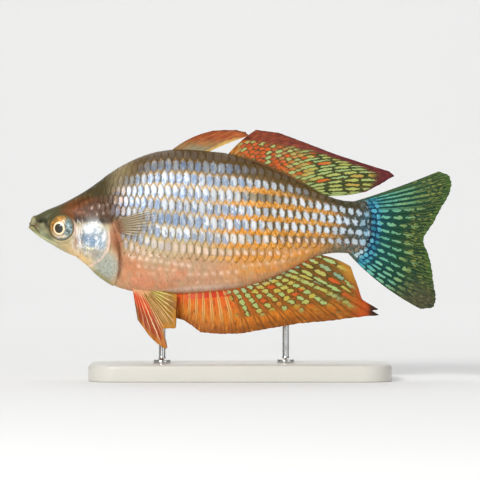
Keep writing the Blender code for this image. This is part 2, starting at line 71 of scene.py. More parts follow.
def in_frame(points: Array) -> Array:
    """Moves points from the fish's layout in millimetres to the model's frame in metres.

    Args:
        points: places as (..., 3).

    Returns:
        (points + offset) / 1000, in the same shape.
    """
    return (np.asarray(points, float) + (SNOUT_X, 0.0, AXIS_HEIGHT)) * MM


def seen(red: int, green: int, blue: int) -> Colour:
    """Turns a colour as a screen shows it, 0 to 255, into linear light."""
    parts = (red / 255, green / 255, blue / 255)
    return tuple(v / 12.92 if v <= 0.04045 else ((v + 0.055) / 1.055) ** 2.4 for v in parts)


def ease(value: Array, low: float, high: float) -> Array:
    """Rises smoothly from 0 at low to 1 at high as 3t^2 - 2t^3. With low over high it falls."""
    t = np.clip((np.asarray(value, float) - low) / (high - low), 0, 1)
    return t * t * (3 - 2 * t)


def bell(value: Array, width: float) -> Array:
    """A bump exp(-(value / width)^2), 1 at zero."""
    return np.exp(-((np.asarray(value, float) / width) ** 2))


def line_distance(x: Array, z: Array, line: Line) -> tuple[Array, Array, Array]:
    """Distance from points of the side view to a line of straight pieces.

    Each piece gives the foot of the perpendicular, kept within the piece, and the nearest one wins.

    Args:
        x: places along the fish.
        z: their heights.
        line: corners of the line.

    Returns:
        The distance, the share of the line passed at the foot, and the side, +1 on the left of the line.
    """
    corners = np.array(line, float)
    steps = np.diff(corners, axis=0)
    lengths = np.hypot(*steps.T)
    passed = np.concatenate([[0], np.cumsum(lengths)]) / lengths.sum()
    best = np.full(np.shape(x), np.inf)
    share, side = np.zeros(np.shape(x)), np.ones(np.shape(x))
    for (x0, z0), (run, rise), length, start, end in zip(corners, steps, lengths, passed, passed[1:]):
        t = np.clip(((x - x0) * run + (z - z0) * rise) / length**2, 0, 1)
        away = np.hypot(x - x0 - t * run, z - z0 - t * rise)
        nearer = away < best
        best = np.where(nearer, away, best)
        share = np.where(nearer, start + t * (end - start), share)
        side = np.where(nearer, np.sign(run * (z - z0) - rise * (x - x0)), side)
    return best, share, side


@dataclass(frozen=True)
class Curve:
    """A smooth line y(x) through points, cubic between them, with slopes from the parabola of each three."""

    points: Line

    def __call__(self, x: Array) -> Array:
        """The line's height at x.

        Args:
            x: places along it.

        Returns:
            The heights there.
        """
        xs, ys = np.array(self.points, float).T
        step = np.diff(xs)
        slope = np.diff(ys) / step
        middle = (slope[:-1] * step[1:] + slope[1:] * step[:-1]) / (step[:-1] + step[1:])
        tangent = np.concatenate([slope[:1], middle, slope[-1:]])
        x = np.asarray(x, float)
        k = np.clip(np.searchsorted(xs, x) - 1, 0, len(xs) - 2)
        t = (x - xs[k]) / step[k]
        return (
            (1 + 2 * t) * (1 - t) ** 2 * ys[k] + t * (1 - t) ** 2 * step[k] * tangent[k]
            + t * t * (3 - 2 * t) * ys[k + 1] + t * t * (t - 1) * step[k] * tangent[k + 1]
        )


@dataclass
class Shell:
    """Points and faces of a closed surface, with what is painted on each point.

    Attributes:
        points: places in the fish's layout, (n, 3).
        quads: point numbers of the four-sided faces, (m, 4).
        tris: point numbers of the three-sided faces, (k, 3).
        marks: named values on the points: (n,) for numbers, (n, 4) for colours.
        maps: named flat maps on the points, (n, 2).
        flat: which of the quads are shaded flat, if any are.
    """

    points: Array
    quads: Array
    tris: Array = field(default_factory=lambda: np.zeros((0, 3), int))
    marks: dict[str, Array] = field(default_factory=dict)
    maps: dict[str, Array] = field(default_factory=dict)
    flat: Array | None = None

    def volume(self) -> float:
        """Signed volume, the sum of dot(a, cross(b, c)) / 6 over the triangles.

        Returns:
            Cubic millimetres, more than 0 if the faces look outwards.
        """
        fans = np.vstack([self.quads[:, :3], self.quads[:, (0, 2, 3)], self.tris])
        a, b, c = (self.points[fans[:, k]] for k in range(3))
        return float(np.einsum("ij,ij->", a, np.cross(b, c)) / 6)

    def piece(self, name: str, finish: bpy.types.Material) -> bpy.types.Object:
        """Makes the object, with its faces turned outwards and shaded smooth.

        Args:
            name: the object's name.
            finish: its material.

        Returns:
            The object, at the origin, with its place in its mesh.
        """
        if self.volume() < 0:
            self.quads, self.tris = self.quads[:, ::-1], self.tris[:, ::-1]
        mesh = bpy.data.meshes.new(name)
        corners = np.concatenate([self.quads.ravel(), self.tris.ravel()]).astype(np.int32)
        starts = np.concatenate(
            [4 * np.arange(len(self.quads)), 4 * len(self.quads) + 3 * np.arange(len(self.tris))]
        )
        mesh.vertices.add(len(self.points))
        mesh.vertices.foreach_set("co", in_frame(self.points).astype(np.float32).ravel())
        mesh.loops.add(len(corners))
        mesh.loops.foreach_set("vertex_index", corners)
        mesh.polygons.add(len(starts))
        mesh.polygons.foreach_set("loop_start", starts.astype(np.int32))
        mesh.update(calc_edges=True)
        for label, values in self.marks.items():
            kind, slot = ("FLOAT", "value") if values.ndim == 1 else ("FLOAT_COLOR", "color")
            layer = mesh.attributes.new(label, kind, "POINT")
            layer.data.foreach_set(slot, values.astype(np.float32).ravel())
        for label, places in self.maps.items():
            layer = mesh.uv_layers.new(name=label, do_init=False)
            layer.data.foreach_set("uv", places[corners].astype(np.float32).ravel())
        mesh.shade_smooth()
        if self.flat is not None:
            smooth = np.concatenate([~self.flat, np.ones(len(self.tris), bool)])
            mesh.polygons.foreach_set("use_smooth", smooth)
        mesh.materials.append(finish)
        obj = bpy.data.objects.new(name, mesh)
        bpy.context.scene.collection.objects.link(obj)
        return obj


def grid_quads(rows: int, columns: int, wrap: bool = False) -> Array:
    """Faces of a grid of points numbered row by row, from (r, c) to its neighbours in the next row.

    Args:
        rows: how many rows of points.
        columns: points in a row.
        wrap: whether the last column joins the first.

    Returns:
        Point numbers, (m, 4).
    """
    r, c = np.meshgrid(np.arange(rows - 1), np.arange(columns if wrap else columns - 1), indexing="ij")
    after = (c + 1) % columns
    faces = [r * columns + c, r * columns + after, (r + 1) * columns + after, (r + 1) * columns + c]
    return np.stack(faces, -1).reshape(-1, 4)


def rim_of_grid(rows: int, columns: int) -> Array:
    """Point numbers round the edge of a grid, in order."""
    numbers = np.arange(rows * columns).reshape(rows, columns)
    return np.concatenate([numbers[0], numbers[1:, -1], numbers[-1, -2::-1], numbers[-2:0:-1, 0]])


def tube(rings: Array, first: Array, last: Array) -> tuple[Array, Array, Array]:
    """Closes rings of points into a body with a point at each end.

    Args:
        rings: (rows, columns, 3), each row a closed ring.
        first: the point before the first ring.
        last: the point after the last ring.

    Returns:
        Points, quads and tris.
    """
    rows, columns = rings.shape[:2]
    points = np.vstack([rings.reshape(-1, 3), first, last])
    k = np.arange(columns)
    after = (k + 1) % columns
    front = np.stack([after, k, np.full(columns, rows * columns)], 1)
    start = (rows - 1) * columns
    back = np.stack([start + k, start + after, np.full(columns, rows * columns + 1)], 1)
    return points, grid_quads(rows, columns, wrap=True), np.vstack([front, back])


def slab(near: Array, far: Array) -> tuple[Array, Array]:
    """Closes two like grids of points into one thin body, with a wall round their edge.

    Args:
        near: (rows, columns, 3).
        far: (rows, columns, 3).

    Returns:
        Points, near ones first, and quads.
    """
    rows, columns = near.shape[:2]
    count = rows * columns
    face, rim = grid_quads(rows, columns), rim_of_grid(rows, columns)
    after = np.roll(rim, -1)
    wall = np.stack([after, rim, count + rim, count + after], 1)
    points = np.vstack([near.reshape(-1, 3), far.reshape(-1, 3)])
    return points, np.vstack([face, face[:, ::-1] + count, wall])


BACK_LINE: Line = (
    (0.1, -0.4), (0.5, 1.8), (1.0, 2.75), (2.1, 3.2), (5.7, 4.95), (9.3, 6.4), (16.5, 10.3), (27.3, 17.8),
    (38.1, 22.2), (44.5, 23.0), (52.0, 22.6), (59.1, 21.8), (69.3, 18.6), (78.9, 14.3), (88.5, 9.4),
    (94.0, 7.7), (101.4, 7.5),
)
BELLY_LINE: Line = (
    (0.1, -0.8), (2.1, -2.5), (9.3, -6.9), (14.7, -9.9), (21.9, -15.7), (25.5, -17.9), (29.1, -19.1),
    (38.1, -20.2), (50.7, -19.9), (63.3, -18.4), (75.9, -14.1), (87.0, -8.8), (91.5, -8.05), (96.3, -8.2),
    (101.4, -8.9),
)
HALF_BREADTH: Line = (
    (0.1, 0.5), (0.7, 1.4), (2.1, 2.2), (5.7, 3.3), (9.3, 4.3), (16.5, 5.6), (27.3, 6.9),
    (40.0, 7.4), (57.0, 7.2), (72.0, 6.0), (84.0, 4.4), (94.0, 3.0), (101.4, 1.7),
)
WIDEST_AT: Line = ((0.1, 0.50), (10.0, 0.50), (27.0, 0.52), (50.0, 0.55), (90.0, 0.50), (101.4, 0.50))
BACK_POWER: Line = (
    (0.1, 0.90), (5.0, 0.62), (12.0, 0.66), (22.0, 0.90), (40.0, 1.12), (90.0, 1.0), (101.4, 0.9),
)
BELLY_POWER: Line = (
    (0.1, 0.90), (6.0, 0.80), (14.0, 0.82), (27.0, 0.86), (45.0, 0.95), (62.0, 1.08), (90.0, 1.0),
    (101.4, 0.9),
)
GILL_CUT: Line = ((0.0, 23.4), (0.45, 24.8), (0.52, 25.6), (0.62, 27.2), (0.75, 27.0), (1.0, 25.2))
TAIL_ROOT: Line = ((0.0, 98.7), (0.25, 100.6), (0.5, 101.2), (0.75, 99.5), (1.0, 96.6))
STALK_X = 89.3
EYE = (9.95, -0.45)
PUPIL = (-0.62, -0.25)


@dataclass(frozen=True)
class BodyForm:
    """The form of head, trunk and tail stalk, as upright sections along the fish.

    A place on it is (x, turn): turn is 0 on the back, 1 on the belly along the left side, and runs on
    to 2, the back again, along the right side.

    Attributes:
        back, belly: heights of its upper and lower edge.
        breadth: half its breadth.
        widest: where it is widest, as a share of its height.
        back_power, belly_power: how keeled it is above and below.
        gill: x of the gill cover's rear edge, by turn.
        root: x of the tail fin's root, by turn.
    """

    back: Curve = Curve(BACK_LINE)
    belly: Curve = Curve(BELLY_LINE)
    breadth: Curve = Curve(HALF_BREADTH)
    widest: Curve = Curve(WIDEST_AT)
    back_power: Curve = Curve(BACK_POWER)
    belly_power: Curve = Curve(BELLY_POWER)
    gill: Curve = Curve(GILL_CUT)
    root: Curve = Curve(TAIL_ROOT)

    def waist(self, x: Array) -> Array:
        """Height of the widest place of the section at x."""
        return self.belly(x) + (self.back(x) - self.belly(x)) * self.widest(x)

    def fold(self, turn: Array) -> Array:
        """The turn of the like place on the left side, from 0 to 1."""
        return 1 - np.abs(np.mod(turn, 2) - 1)

    def point(self, x: Array, turn: Array) -> Array:
        """A point of the surface.

        With a = pi * turn, z is the waist plus cos(a) times the reach up or down, and y is minus the half
        breadth times |sin(a)| to a power that rounds or keels the section, with the sign of sin(a).

        Args:
            x: places along the fish.
            turn: places round the section.

        Returns:
            Points, (..., 3).
        """
        x, turn = np.broadcast_arrays(np.asarray(x, float), np.asarray(turn, float))
        sine, lean, waist = np.sin(math.pi * turn), np.cos(math.pi * turn), self.waist(x)
        reach = np.where(lean > 0, self.back(x) - waist, waist - self.belly(x))
        power = np.where(lean > 0, self.back_power(x), self.belly_power(x))
        y = -self.breadth(x) * np.sign(sine) * np.abs(sine) ** power
        return np.stack([x, y, waist + lean * reach], -1)

    def normal(self, x: Array, turn: Array) -> Array:
        """Unit vectors out of the surface, the cross product of its slopes along x and turn.

        Args:
            x: places along the fish.
            turn: turns round its sections.

        Returns:
            The vectors, (..., 3).
        """
        along = self.point(x + 0.05, turn) - self.point(x - 0.05, turn)
        around = self.point(x, turn + 0.004) - self.point(x, turn - 0.004)
        out = np.cross(around, along)
        return out / np.maximum(np.linalg.norm(out, axis=-1, keepdims=True), 1e-9)

    def turn_at(self, x: Array, z: Array) -> Array:
        """The turn on the left side at height z, from the arc cosine of the share of the reach.

        Args:
            x: places along the fish.
            z: their heights.

        Returns:
            Turns from 0 on the back to 1 on the belly.
        """
        waist = self.waist(x)
        reach = np.where(z > waist, self.back(x) - waist, waist - self.belly(x))
        return np.arccos(np.clip((z - waist) / reach, -1, 1)) / math.pi

    def side_y(self, x: Array, z: Array) -> Array:
        """Half breadth of the body at height z of the section at x."""
        return -self.point(x, self.turn_at(x, z))[..., 1]

    def under_z(self, x: Array, y: Array) -> Array:
        """Height of the underside at a distance y from the middle plane.

        Args:
            x: places along the fish.
            y: their distances from the middle plane.

        Returns:
            The heights.
        """
        sine = np.clip(np.abs(y) / self.breadth(x), 0, 1) ** (1 / self.belly_power(x))
        waist = self.waist(x)
        return waist - np.sqrt(1 - sine**2) * (waist - self.belly(x))

    def height_share(self, x: Array, z: Array) -> Array:
        """0 on the belly line and 1 on the back line."""
        return (z - self.belly(x)) / np.maximum(self.back(x) - self.belly(x), 0.2)


FORM = BodyForm()


class ArcTable:
    """Distances round the body's sections, measured over the skin from the back."""

    FIRST, LAST, STATIONS, TURNS = 2.0, 103.0, 320, 480

    def __init__(self) -> None:
        """Adds up the steps of each section's left half, and turns the table round."""
        xs = np.linspace(self.FIRST, self.LAST, self.STATIONS)
        turns = np.linspace(0, 1, self.TURNS)
        ring = FORM.point(xs[:, None], turns[None, :])
        steps = np.linalg.norm(np.diff(ring, axis=1), axis=-1)
        self.passed = np.concatenate([np.zeros((len(xs), 1)), np.cumsum(steps, axis=1)], axis=1)
        self.whole = self.passed[:, -1]
        shares = np.linspace(0, 1, self.TURNS)
        self.turns = np.array([np.interp(shares, row / row[-1], turns) for row in self.passed])

    def _read(self, table: Array, x: Array, share: Array) -> Array:
        """Bilinear value of a table at x and a share from 0 to 1 along its second axis.

        Args:
            table: stations by turns.
            x: places along the fish.
            share: shares of the second axis.

        Returns:
            The values.
        """
        row = np.clip(
            (x - self.FIRST) / (self.LAST - self.FIRST) * (self.STATIONS - 1), 0, self.STATIONS - 1.001
        )
        column = np.clip(share * (self.TURNS - 1), 0, self.TURNS - 1.001)
        i, j = row.astype(int), column.astype(int)
        p, q = row - i, column - j
        return (
            (1 - p) * ((1 - q) * table[i, j] + q * table[i, j + 1])
            + p * ((1 - q) * table[i + 1, j] + q * table[i + 1, j + 1])
        )

    def length(self, x: Array) -> Array:
        """Distance over the skin from back to belly at x."""
        xs = np.linspace(self.FIRST, self.LAST, self.STATIONS)
        return np.interp(x, xs, self.whole)

    def arc(self, x: Array, turn: Array) -> Array:
        """Distance over the skin from the back to the turn."""
        return self._read(self.passed, x, turn)

    def turn(self, x: Array, arc: Array) -> Array:
        """The turn at a distance from the back. Past the back or the belly it goes on over the other side.

        Args:
            x: places along the fish.
            arc: their distances from the back, over the skin.

        Returns:
            The turns.
        """
        whole = self.length(x)
        folded = np.where(arc > whole, 2 * whole - arc, np.abs(arc))
        turn = self._read(self.turns, x, folded / whole)
        return np.where(arc < 0, -turn, np.where(arc > whole, 2 - turn, turn))


@dataclass(frozen=True)
class Patch:
    """A soft oval of colour on the side of the fish.

    Attributes:
        colour: its colour.
        x, z: its middle.
        long, high: its radii.
        lean: how far its rear end is turned up, in degrees.
        strength: how much of it covers what is under it, at most.
        crisp: 1 for a plain bell curve, more for a flatter middle and a sharper edge.
    """

    colour: Colour
    x: float
    z: float
    long: float
    high: float
    lean: float = 0.0
    strength: float = 1.0
    crisp: float = 1.5

    def weight(self, x: Array, z: Array) -> Array:
        """Cover at a place: strength * exp(-r^(2 crisp)), r being the share of the oval's radius.

        Args:
            x: places along the fish.
            z: their heights.

        Returns:
            Shares from 0 to the strength.
        """
        cosine, sine = math.cos(math.radians(self.lean)), math.sin(math.radians(self.lean))
        along = (x - self.x) * cosine + (z - self.z) * sine
        across = (z - self.z) * cosine - (x - self.x) * sine
        oval = (along / self.long) ** 2 + (across / self.high) ** 2
        return self.strength * np.exp(-(oval**self.crisp))


@dataclass(frozen=True)
class Stroke:
    """A soft stroke of colour along a line on the side of the fish.

    Attributes:
        colour: its colour.
        line: the line's corners.
        width: half its width.
        strength: how much of it covers what is under it, at most.
        soft: share of its length over which its ends fade.
    """

    colour: Colour
    line: Line
    width: float
    strength: float = 1.0
    soft: float = 0.2

    def weight(self, x: Array, z: Array) -> Array:
        """Cover at a place: strength * exp(-(distance / width)^2), fading to both ends of the line.

        Args:
            x: places along the fish.
            z: their heights.

        Returns:
            Shares from 0 to the strength.
        """
        away, share, _ = line_distance(x, z, self.line)
        ends = ease(share, 0.0, self.soft) * ease(share, 1.0, 1.0 - self.soft)
        return self.strength * bell(away, self.width) * ends


def lay_over(under: Array, colour: Colour, weight: Array) -> Array:
    """Covers colours with another by its weight: under * (1 - w) + colour * w."""
    return under * (1 - weight[..., None]) + np.array(colour) * weight[..., None]


def marks(*rows: Sequence[Any]) -> tuple[Patch | Stroke, ...]:
    """Marks from rows of red, green, blue, then a stroke's line or a patch's x, and its other values."""
    return tuple((Stroke if isinstance(row[3], tuple) else Patch)(seen(*row[:3]), *row[3:]) for row in rows)


OLIVE = seen(98, 76, 42)
HEAD_OLIVE = seen(72, 64, 38)
FLANK = seen(208, 190, 146)
BELLY = seen(200, 150, 112)
REAR_GREY = seen(106, 92, 62)
STALK_GREY = seen(94, 100, 90)
PEARL = seen(232, 236, 240)
SKY = seen(128, 158, 200)
ROSE_PEARL = seen(244, 212, 184)
CREAM = seen(242, 210, 162)
ORANGE = seen(236, 154, 42)
SCALE_EDGE = seen(118, 106, 80)

# Marks on the head: mostly its colours, some painted highlights and shade, as noted beside them.
HEAD_MARKS_AND_LIGHT = marks(
    (84, 84, 58, 4.8, 3.3, 5.5, 2.6, 25),
    (128, 128, 98, 3.4, -0.6, 3.6, 1.6, -25),
    (158, 154, 118, 1.2, 1.9, 0.8, 1.3, 20),
    (104, 78, 46, 2.3, 0.3, 1.0, 0.6, -30, 0.9),
    (136, 134, 82, 2.2, -1.7, 2.2, 0.9, -30),
    (150, 158, 134, 6.6, -4.4, 4.6, 1.7, -30),
    (104, 104, 74, 6.0, -3.2, 1.6, 0.9, -38, 0.8),
    # Painted highlight: a pale stroke along the edge of the lower jaw.
    (206, 206, 150, ((1.0, -1.5), (3.2, -3.0), (6.4, -4.6), (9.4, -6.0)), 0.32, 0.75),
    (50, 50, 36, 3.7, 1.6, 1.6, 0.8, 15, 0.95),
    (46, 54, 48, 5.5, 0.4, 0.85, 1.5, 20, 0.95),
    (98, 84, 56, ((7.2, 2.6), (6.0, 0.6), (6.3, -2.0), (8.0, -4.2)), 0.5, 0.7),
    (188, 170, 128, 11.4, -6.1, 4.2, 1.7, -22),
    (232, 196, 138, 15.4, -9.3, 4.8, 1.6, -34),
    (196, 178, 150, 14.6, -4.4, 1.9, 4.2, 4, 0.9),
    (240, 232, 226, ((14.8, 0.4), (15.2, -2.2), (15.2, -5.0), (14.6, -7.6)), 0.42, 0.8, 0.4),
    (196, 130, 96, ((14.0, -3.0), (14.2, -5.2), (13.8, -7.4)), 0.3, 0.6),
    (214, 160, 134, ((13.5, 1.6), (14.0, -0.6), (13.9, -3.2)), 0.4, 0.85),
    (128, 80, 46, 14.4, 2.8, 1.8, 1.6, 0, 0.95),
    (122, 72, 38, 16.0, 5.2, 6.0, 3.2, 10, 1.0, 2.5),
    (136, 70, 32, 14.6, 5.0, 1.7, 1.4, 0, 0.8),
    (84, 48, 22, 22.0, 5.0, 6.0, 4.0, 8, 0.97, 2.5),
    (84, 54, 28, 27.5, 5.8, 4.0, 4.6, 20, 0.9, 2.0),
    (96, 60, 32, 13.6, 6.1, 2.4, 1.0, 22, 0.6),
    (54, 34, 16, ((13.4, 1.7), (15.4, 1.9), (18.0, 1.8), (22.0, 1.5), (26.0, 1.4)), 1.25, 1.0, 0.06),
    (168, 182, 192, 19.5, -3.4, 4.3, 4.3, 0, 1.0, 2.0),
    # Silver with painted highlight: the white top of the gill cover.
    (232, 238, 246, 18.4, -0.9, 2.3, 1.3, -8, 0.85),
    (136, 162, 190, 18.4, -4.4, 2.5, 1.6, -25, 0.9),
    (150, 172, 192, 22.0, -5.4, 1.5, 2.4, 0, 0.8),
    # Silver with painted highlight: a white streak near the gill cover's rear edge.
    (238, 240, 244, 22.8, -2.8, 0.5, 2.0, -15, 0.85),
    # Painted highlight: a short pale dash low on the gill cover.
    (248, 246, 206, ((16.9, -6.2), (18.4, -6.8), (20.2, -6.7)), 0.3, 0.95),
    (168, 150, 136, 20.6, -8.8, 2.8, 1.6, -15, 0.9),
    (118, 132, 132, ((16.2, -0.6), (16.4, -4.0), (16.8, -8.0), (18.4, -10.6)), 0.35, 0.6),
    # The gill cover's pale rim: its bony edge, with painted highlight on it.
    (240, 216, 202, ((23.9, -0.4), (24.3, -3.6), (23.7, -7.0), (21.8, -10.0), (18.6, -11.9)), 0.34, 0.9),
    # Painted shade: a dark line in the groove at the gill cover's rear edge.
    (138, 98, 72, ((24.6, 0.4), (25.0, -3.4), (24.5, -7.2), (22.8, -10.2)), 0.3, 0.7),
    (162, 168, 156, 23.3, -12.2, 4.2, 4.6, 0, 0.97, 2.5),
    (158, 152, 98, 21.6, -15.2, 4.8, 0.9, -34, 0.95),
    (172, 118, 88, 25.6, -3.4, 1.2, 4.0, 2, 0.9),
    (162, 104, 74, 26.7, -4.4, 1.5, 4.0, 3, 0.95),
    (176, 124, 96, 26.2, -0.2, 1.5, 1.6, 0, 0.8),
    (172, 112, 84, ((26.8, -1.6), (27.5, -6.0), (28.0, -10.0), (27.8, -13.6)), 0.8, 0.75),
    # Painted shade: a dark line in the gill opening, under the gill cover's edge.
    (122, 78, 48, ((25.9, -3.6), (26.9, -6.6), (27.5, -10.2), (27.3, -13.6), (26.6, -16.6)), 0.6, 0.9, 0.15),
    (74, 48, 28, 24.4, 2.4, 1.6, 1.6, 10, 0.85),
    # Painted highlights: two rows of small pale glints on the nape's scales.
    *((244, 214, 192, 19.0 + 2.3 * k, 5.3 + 0.6 * k, 0.26, 0.45, -15, 0.65, 1.0) for k in range(4)),
    *((236, 210, 196, 20.6 + 1.9 * k, 3.4 + 0.35 * k, 0.24, 0.4, -25, 0.7, 1.0) for k in range(4)),
    # A second pale stroke on the gill cover's rim: its bony edge, with painted highlight on it.
    (
        240, 208, 192,
        ((24.0, -2.0), (24.3, -4.0), (23.7, -7.2), (21.8, -10.0), (18.6, -11.9), (16.4, -12.2)), 0.3, 0.85,
    ),
)
BODY_MARKS = marks(
    (200, 134, 96, 31.4, -12.0, 4.6, 5.5, 0, 0.9),
    (216, 142, 108, 35.0, -16.4, 6.0, 2.6, 0, 0.8),
    (226, 130, 84, 40.0, -17.6, 3.4, 1.2, 0, 0.7),
    (198, 152, 120, 50.0, -15.8, 14.0, 3.0, 0, 0.8),
    (214, 196, 184, 52.0, -18.6, 12.0, 0.9, 4, 0.6),
    (170, 148, 112, 30.0, -2.6, 3.6, 4.8, 0, 0.8),
    (204, 190, 160, 40.0, -6.0, 9.0, 3.6, 4, 0.7),
    (176, 156, 126, 38.5, -10.8, 5.0, 2.0, 4, 0.6),
    (184, 160, 134, 50.0, -12.0, 6.0, 1.8, 0, 0.5),
    (214, 132, 96, 45.0, -14.6, 2.6, 1.4, 20, 0.5),
    (218, 152, 72, 70.0, -10.6, 11.0, 4.2, 18, 0.85),
    (188, 138, 74, 84.0, -8.0, 7.0, 1.4, 24, 0.9),
    (224, 146, 44, ((58.0, -8.4), (70.0, -9.6), (80.0, -8.6), (90.0, -5.4)), 0.9, 0.8),
    (222, 146, 60, ((62.0, -13.4), (72.0, -13.2), (80.0, -11.2), (86.0, -8.4)), 0.8, 0.75),
    (66, 76, 72, 96.5, 0.0, 4.5, 7.5, 0, 0.85),
    (44, 92, 108, 101.0, 0.0, 2.4, 6.5, 0, 0.9),
    (62, 62, 40, 95.0, 6.6, 6.5, 2.4, -4, 0.9),
    *((250, 220, 200, 31.2 + 2.1 * k, -9.3 - 0.32 * k, 0.6, 0.55, 8, 0.8, 1.0) for k in range(9)),
    *((246, 212, 190, 33.0 + 2.1 * k, -12.0 - 0.25 * k, 0.5, 0.4, 8, 0.6, 1.0) for k in range(6)),
    *((250, 216, 194, 48.4 + 2.3 * k, -14.4 + 0.02 * k * k, 0.5, 0.55, 0, 0.75, 1.0) for k in range(7)),
    *((244, 206, 180, 50.6 + 2.9 * k, -16.9 + 0.05 * k * k, 0.45, 0.4, 0, 0.6, 1.0) for k in range(5)),
    *((250, 208, 172, 64.4 + 2.35 * k, -12.0 + 0.3 * k, 0.55, 0.5, 10, 0.75, 1.0) for k in range(6)),
    *((248, 210, 176, 76.4 + 2.3 * k, -9.0 + 0.45 * k, 0.5, 0.45, 10, 0.7, 1.0) for k in range(4)),
)


class Markings:
    """The fish's markings and painted light, by place in its side view. Skin and scales both read them."""

    def ground(self, x: Array, z: Array) -> Array:
        """Colour of the skin between the bright spots, with the painted highlights and shade of the head's
        marks.

        Args:
            x: places along the fish.
            z: their heights.

        Returns:
            Linear colours, (..., 3).
        """
        share = FORM.height_share(x, z)
        body = ease(x, 18.0, 30.0)
        colour = np.broadcast_to(np.array(FLANK), (*np.shape(x), 3))
        colour = lay_over(colour, REAR_GREY, ease(x, 60.0, 80.0))
        colour = lay_over(colour, STALK_GREY, ease(x, 88.0, 97.0))
        colour = lay_over(colour, BELLY, ease(share, 0.40, 0.16) * body * ease(x, 92.0, 80.0))
        colour = lay_over(colour, OLIVE, ease(share, 0.70, 0.88) * ease(x, 20.0, 34.0))
        colour = lay_over(colour, HEAD_OLIVE, ease(share, 0.56, 0.70) * ease(x, 30.0, 22.0))
        for mark in (*BODY_MARKS, *HEAD_MARKS_AND_LIGHT):
            colour = lay_over(colour, mark.colour, mark.weight(x, z))
        return colour

    def sheen(self, x: Array, z: Array) -> Array:
        """How silvery the skin is, from 0 to 1: most on the gill cover and cheek, least on the back.

        Args:
            x: places along the fish.
            z: their heights.

        Returns:
            Shares from 0 to 1.
        """
        share = FORM.height_share(x, z)
        cover = Patch(PEARL, 19.4, -3.6, 4.6, 6.0).weight(x, z)
        cheek = Patch(PEARL, 13.0, -5.0, 5.0, 4.0).weight(x, z)
        return np.clip(0.12 + 0.8 * cover + 0.35 * cheek - 0.12 * ease(share, 0.65, 0.9), 0, 1)

    def grain(self, x: Array, z: Array) -> Array:
        """Where the skin has a grain of its own.

        Args:
            x: places along the fish.
            z: their heights.

        Returns:
            Shares from 0 to 1, (..., 4): small scales on the nape, mottled silver on the gill cover,
            streaks on the belly, and mottling on the skin behind the gill cover.
        """
        share = FORM.height_share(x, z)
        nape = ease(x, 11.5, 16.0) * ease(z - 0.25 * x, -3.0, -1.4) * ease(x, 31.0, 27.0)
        cover = Patch(PEARL, 19.2, -4.4, 4.3, 5.9, 0, 1.0, 3.0).weight(x, z)
        silver = np.maximum(cover, Patch(PEARL, 14.4, -3.0, 1.4, 4.4).weight(x, z) * 0.7)
        silver = silver * (0.4 + 0.6 * ease(z, -9.5, -6.0))
        belly = ease(x, 26.5, 29.0) * ease(share, 0.42, 0.22)
        membrane = Patch(PEARL, 23.3, -12.2, 4.1, 4.6, 0, 1.0, 2.5).weight(x, z)
        return np.stack([nape, silver, belly, membrane], -1)

    def spot(self, x: Array, z: Array) -> dict[str, Array]:
        """The bright spots on the scales.

        Args:
            x: the scales' middles along the fish.
            z: their heights.

        Returns:
            Linear "colour", "strength" from 0 to 1, the spots' half sizes "wide" in pitches and "high"
            in row spacings, and "blue", the chance of a blue-grey blot.
        """
        share = FORM.height_share(x, z)
        colour = np.broadcast_to(np.array(PEARL), (*np.shape(x), 3))
        blue = ease(x, 74.0, 40.0) * ease(share, 0.46, 0.66) * 0.35
        colour = lay_over(colour, SKY, blue)
        colour = lay_over(colour, seen(206, 164, 132), ease(x, 31.0, 26.0))
        colour = lay_over(colour, SKY, Patch(SKY, 42.0, 2.0, 7.0, 1.8, 0, 0.6).weight(x, z))
        colour = lay_over(colour, seen(196, 214, 228), ease(x, 80.0, 94.0) * 0.8)
        colour = lay_over(colour, seen(120, 180, 206), ease(x, 97.5, 101.5) * 0.8)
        colour = lay_over(colour, ROSE_PEARL, ease(share, 0.42, 0.30) * ease(x, 92.0, 82.0))
        top = ease(share, 0.80, 0.90)
        colour = lay_over(colour, seen(128, 140, 150), top * 0.8)
        dim = Patch(FLANK, 69.5, 8.8, 5.5, 1.6, -10, 0.95).weight(x, z)
        colour = lay_over(colour, seen(170, 146, 98), dim)
        strength = ease(share, 0.14, 0.24) * (1 - 0.9 * ease(share, 0.86, 0.95)) * ease(x, 23.5, 29.5)
        strength = strength * (1 - 0.9 * ease(x, 38.0, 31.0) * ease(share, 0.78, 0.90)) * (1 - 0.7 * dim)
        strength = strength * (1 - 0.35 * Patch(FLANK, 30.0, -2.0, 3.0, 5.0).weight(x, z))
        small = ease(share, 0.40, 0.28) * ease(x, 94.0, 84.0)
        high = (0.49 - 0.19 * ease(x, 50.0, 72.0)) * (1 - 0.50 * small)
        high = high * (1 - 0.15 * ease(share, 0.72, 0.86))
        wide = (0.45 - 0.17 * small) * (1 - 0.32 * ease(x, 54.0, 76.0) * (1 - 0.25 * ease(x, 86.0, 96.0)))
        return {
            "colour": colour, "strength": strength, "wide": wide, "high": high,
            "blue": np.clip(0.85 * ease(x, 80.0, 62.0) * (1 - small) + 0.1, 0, 1),
        }

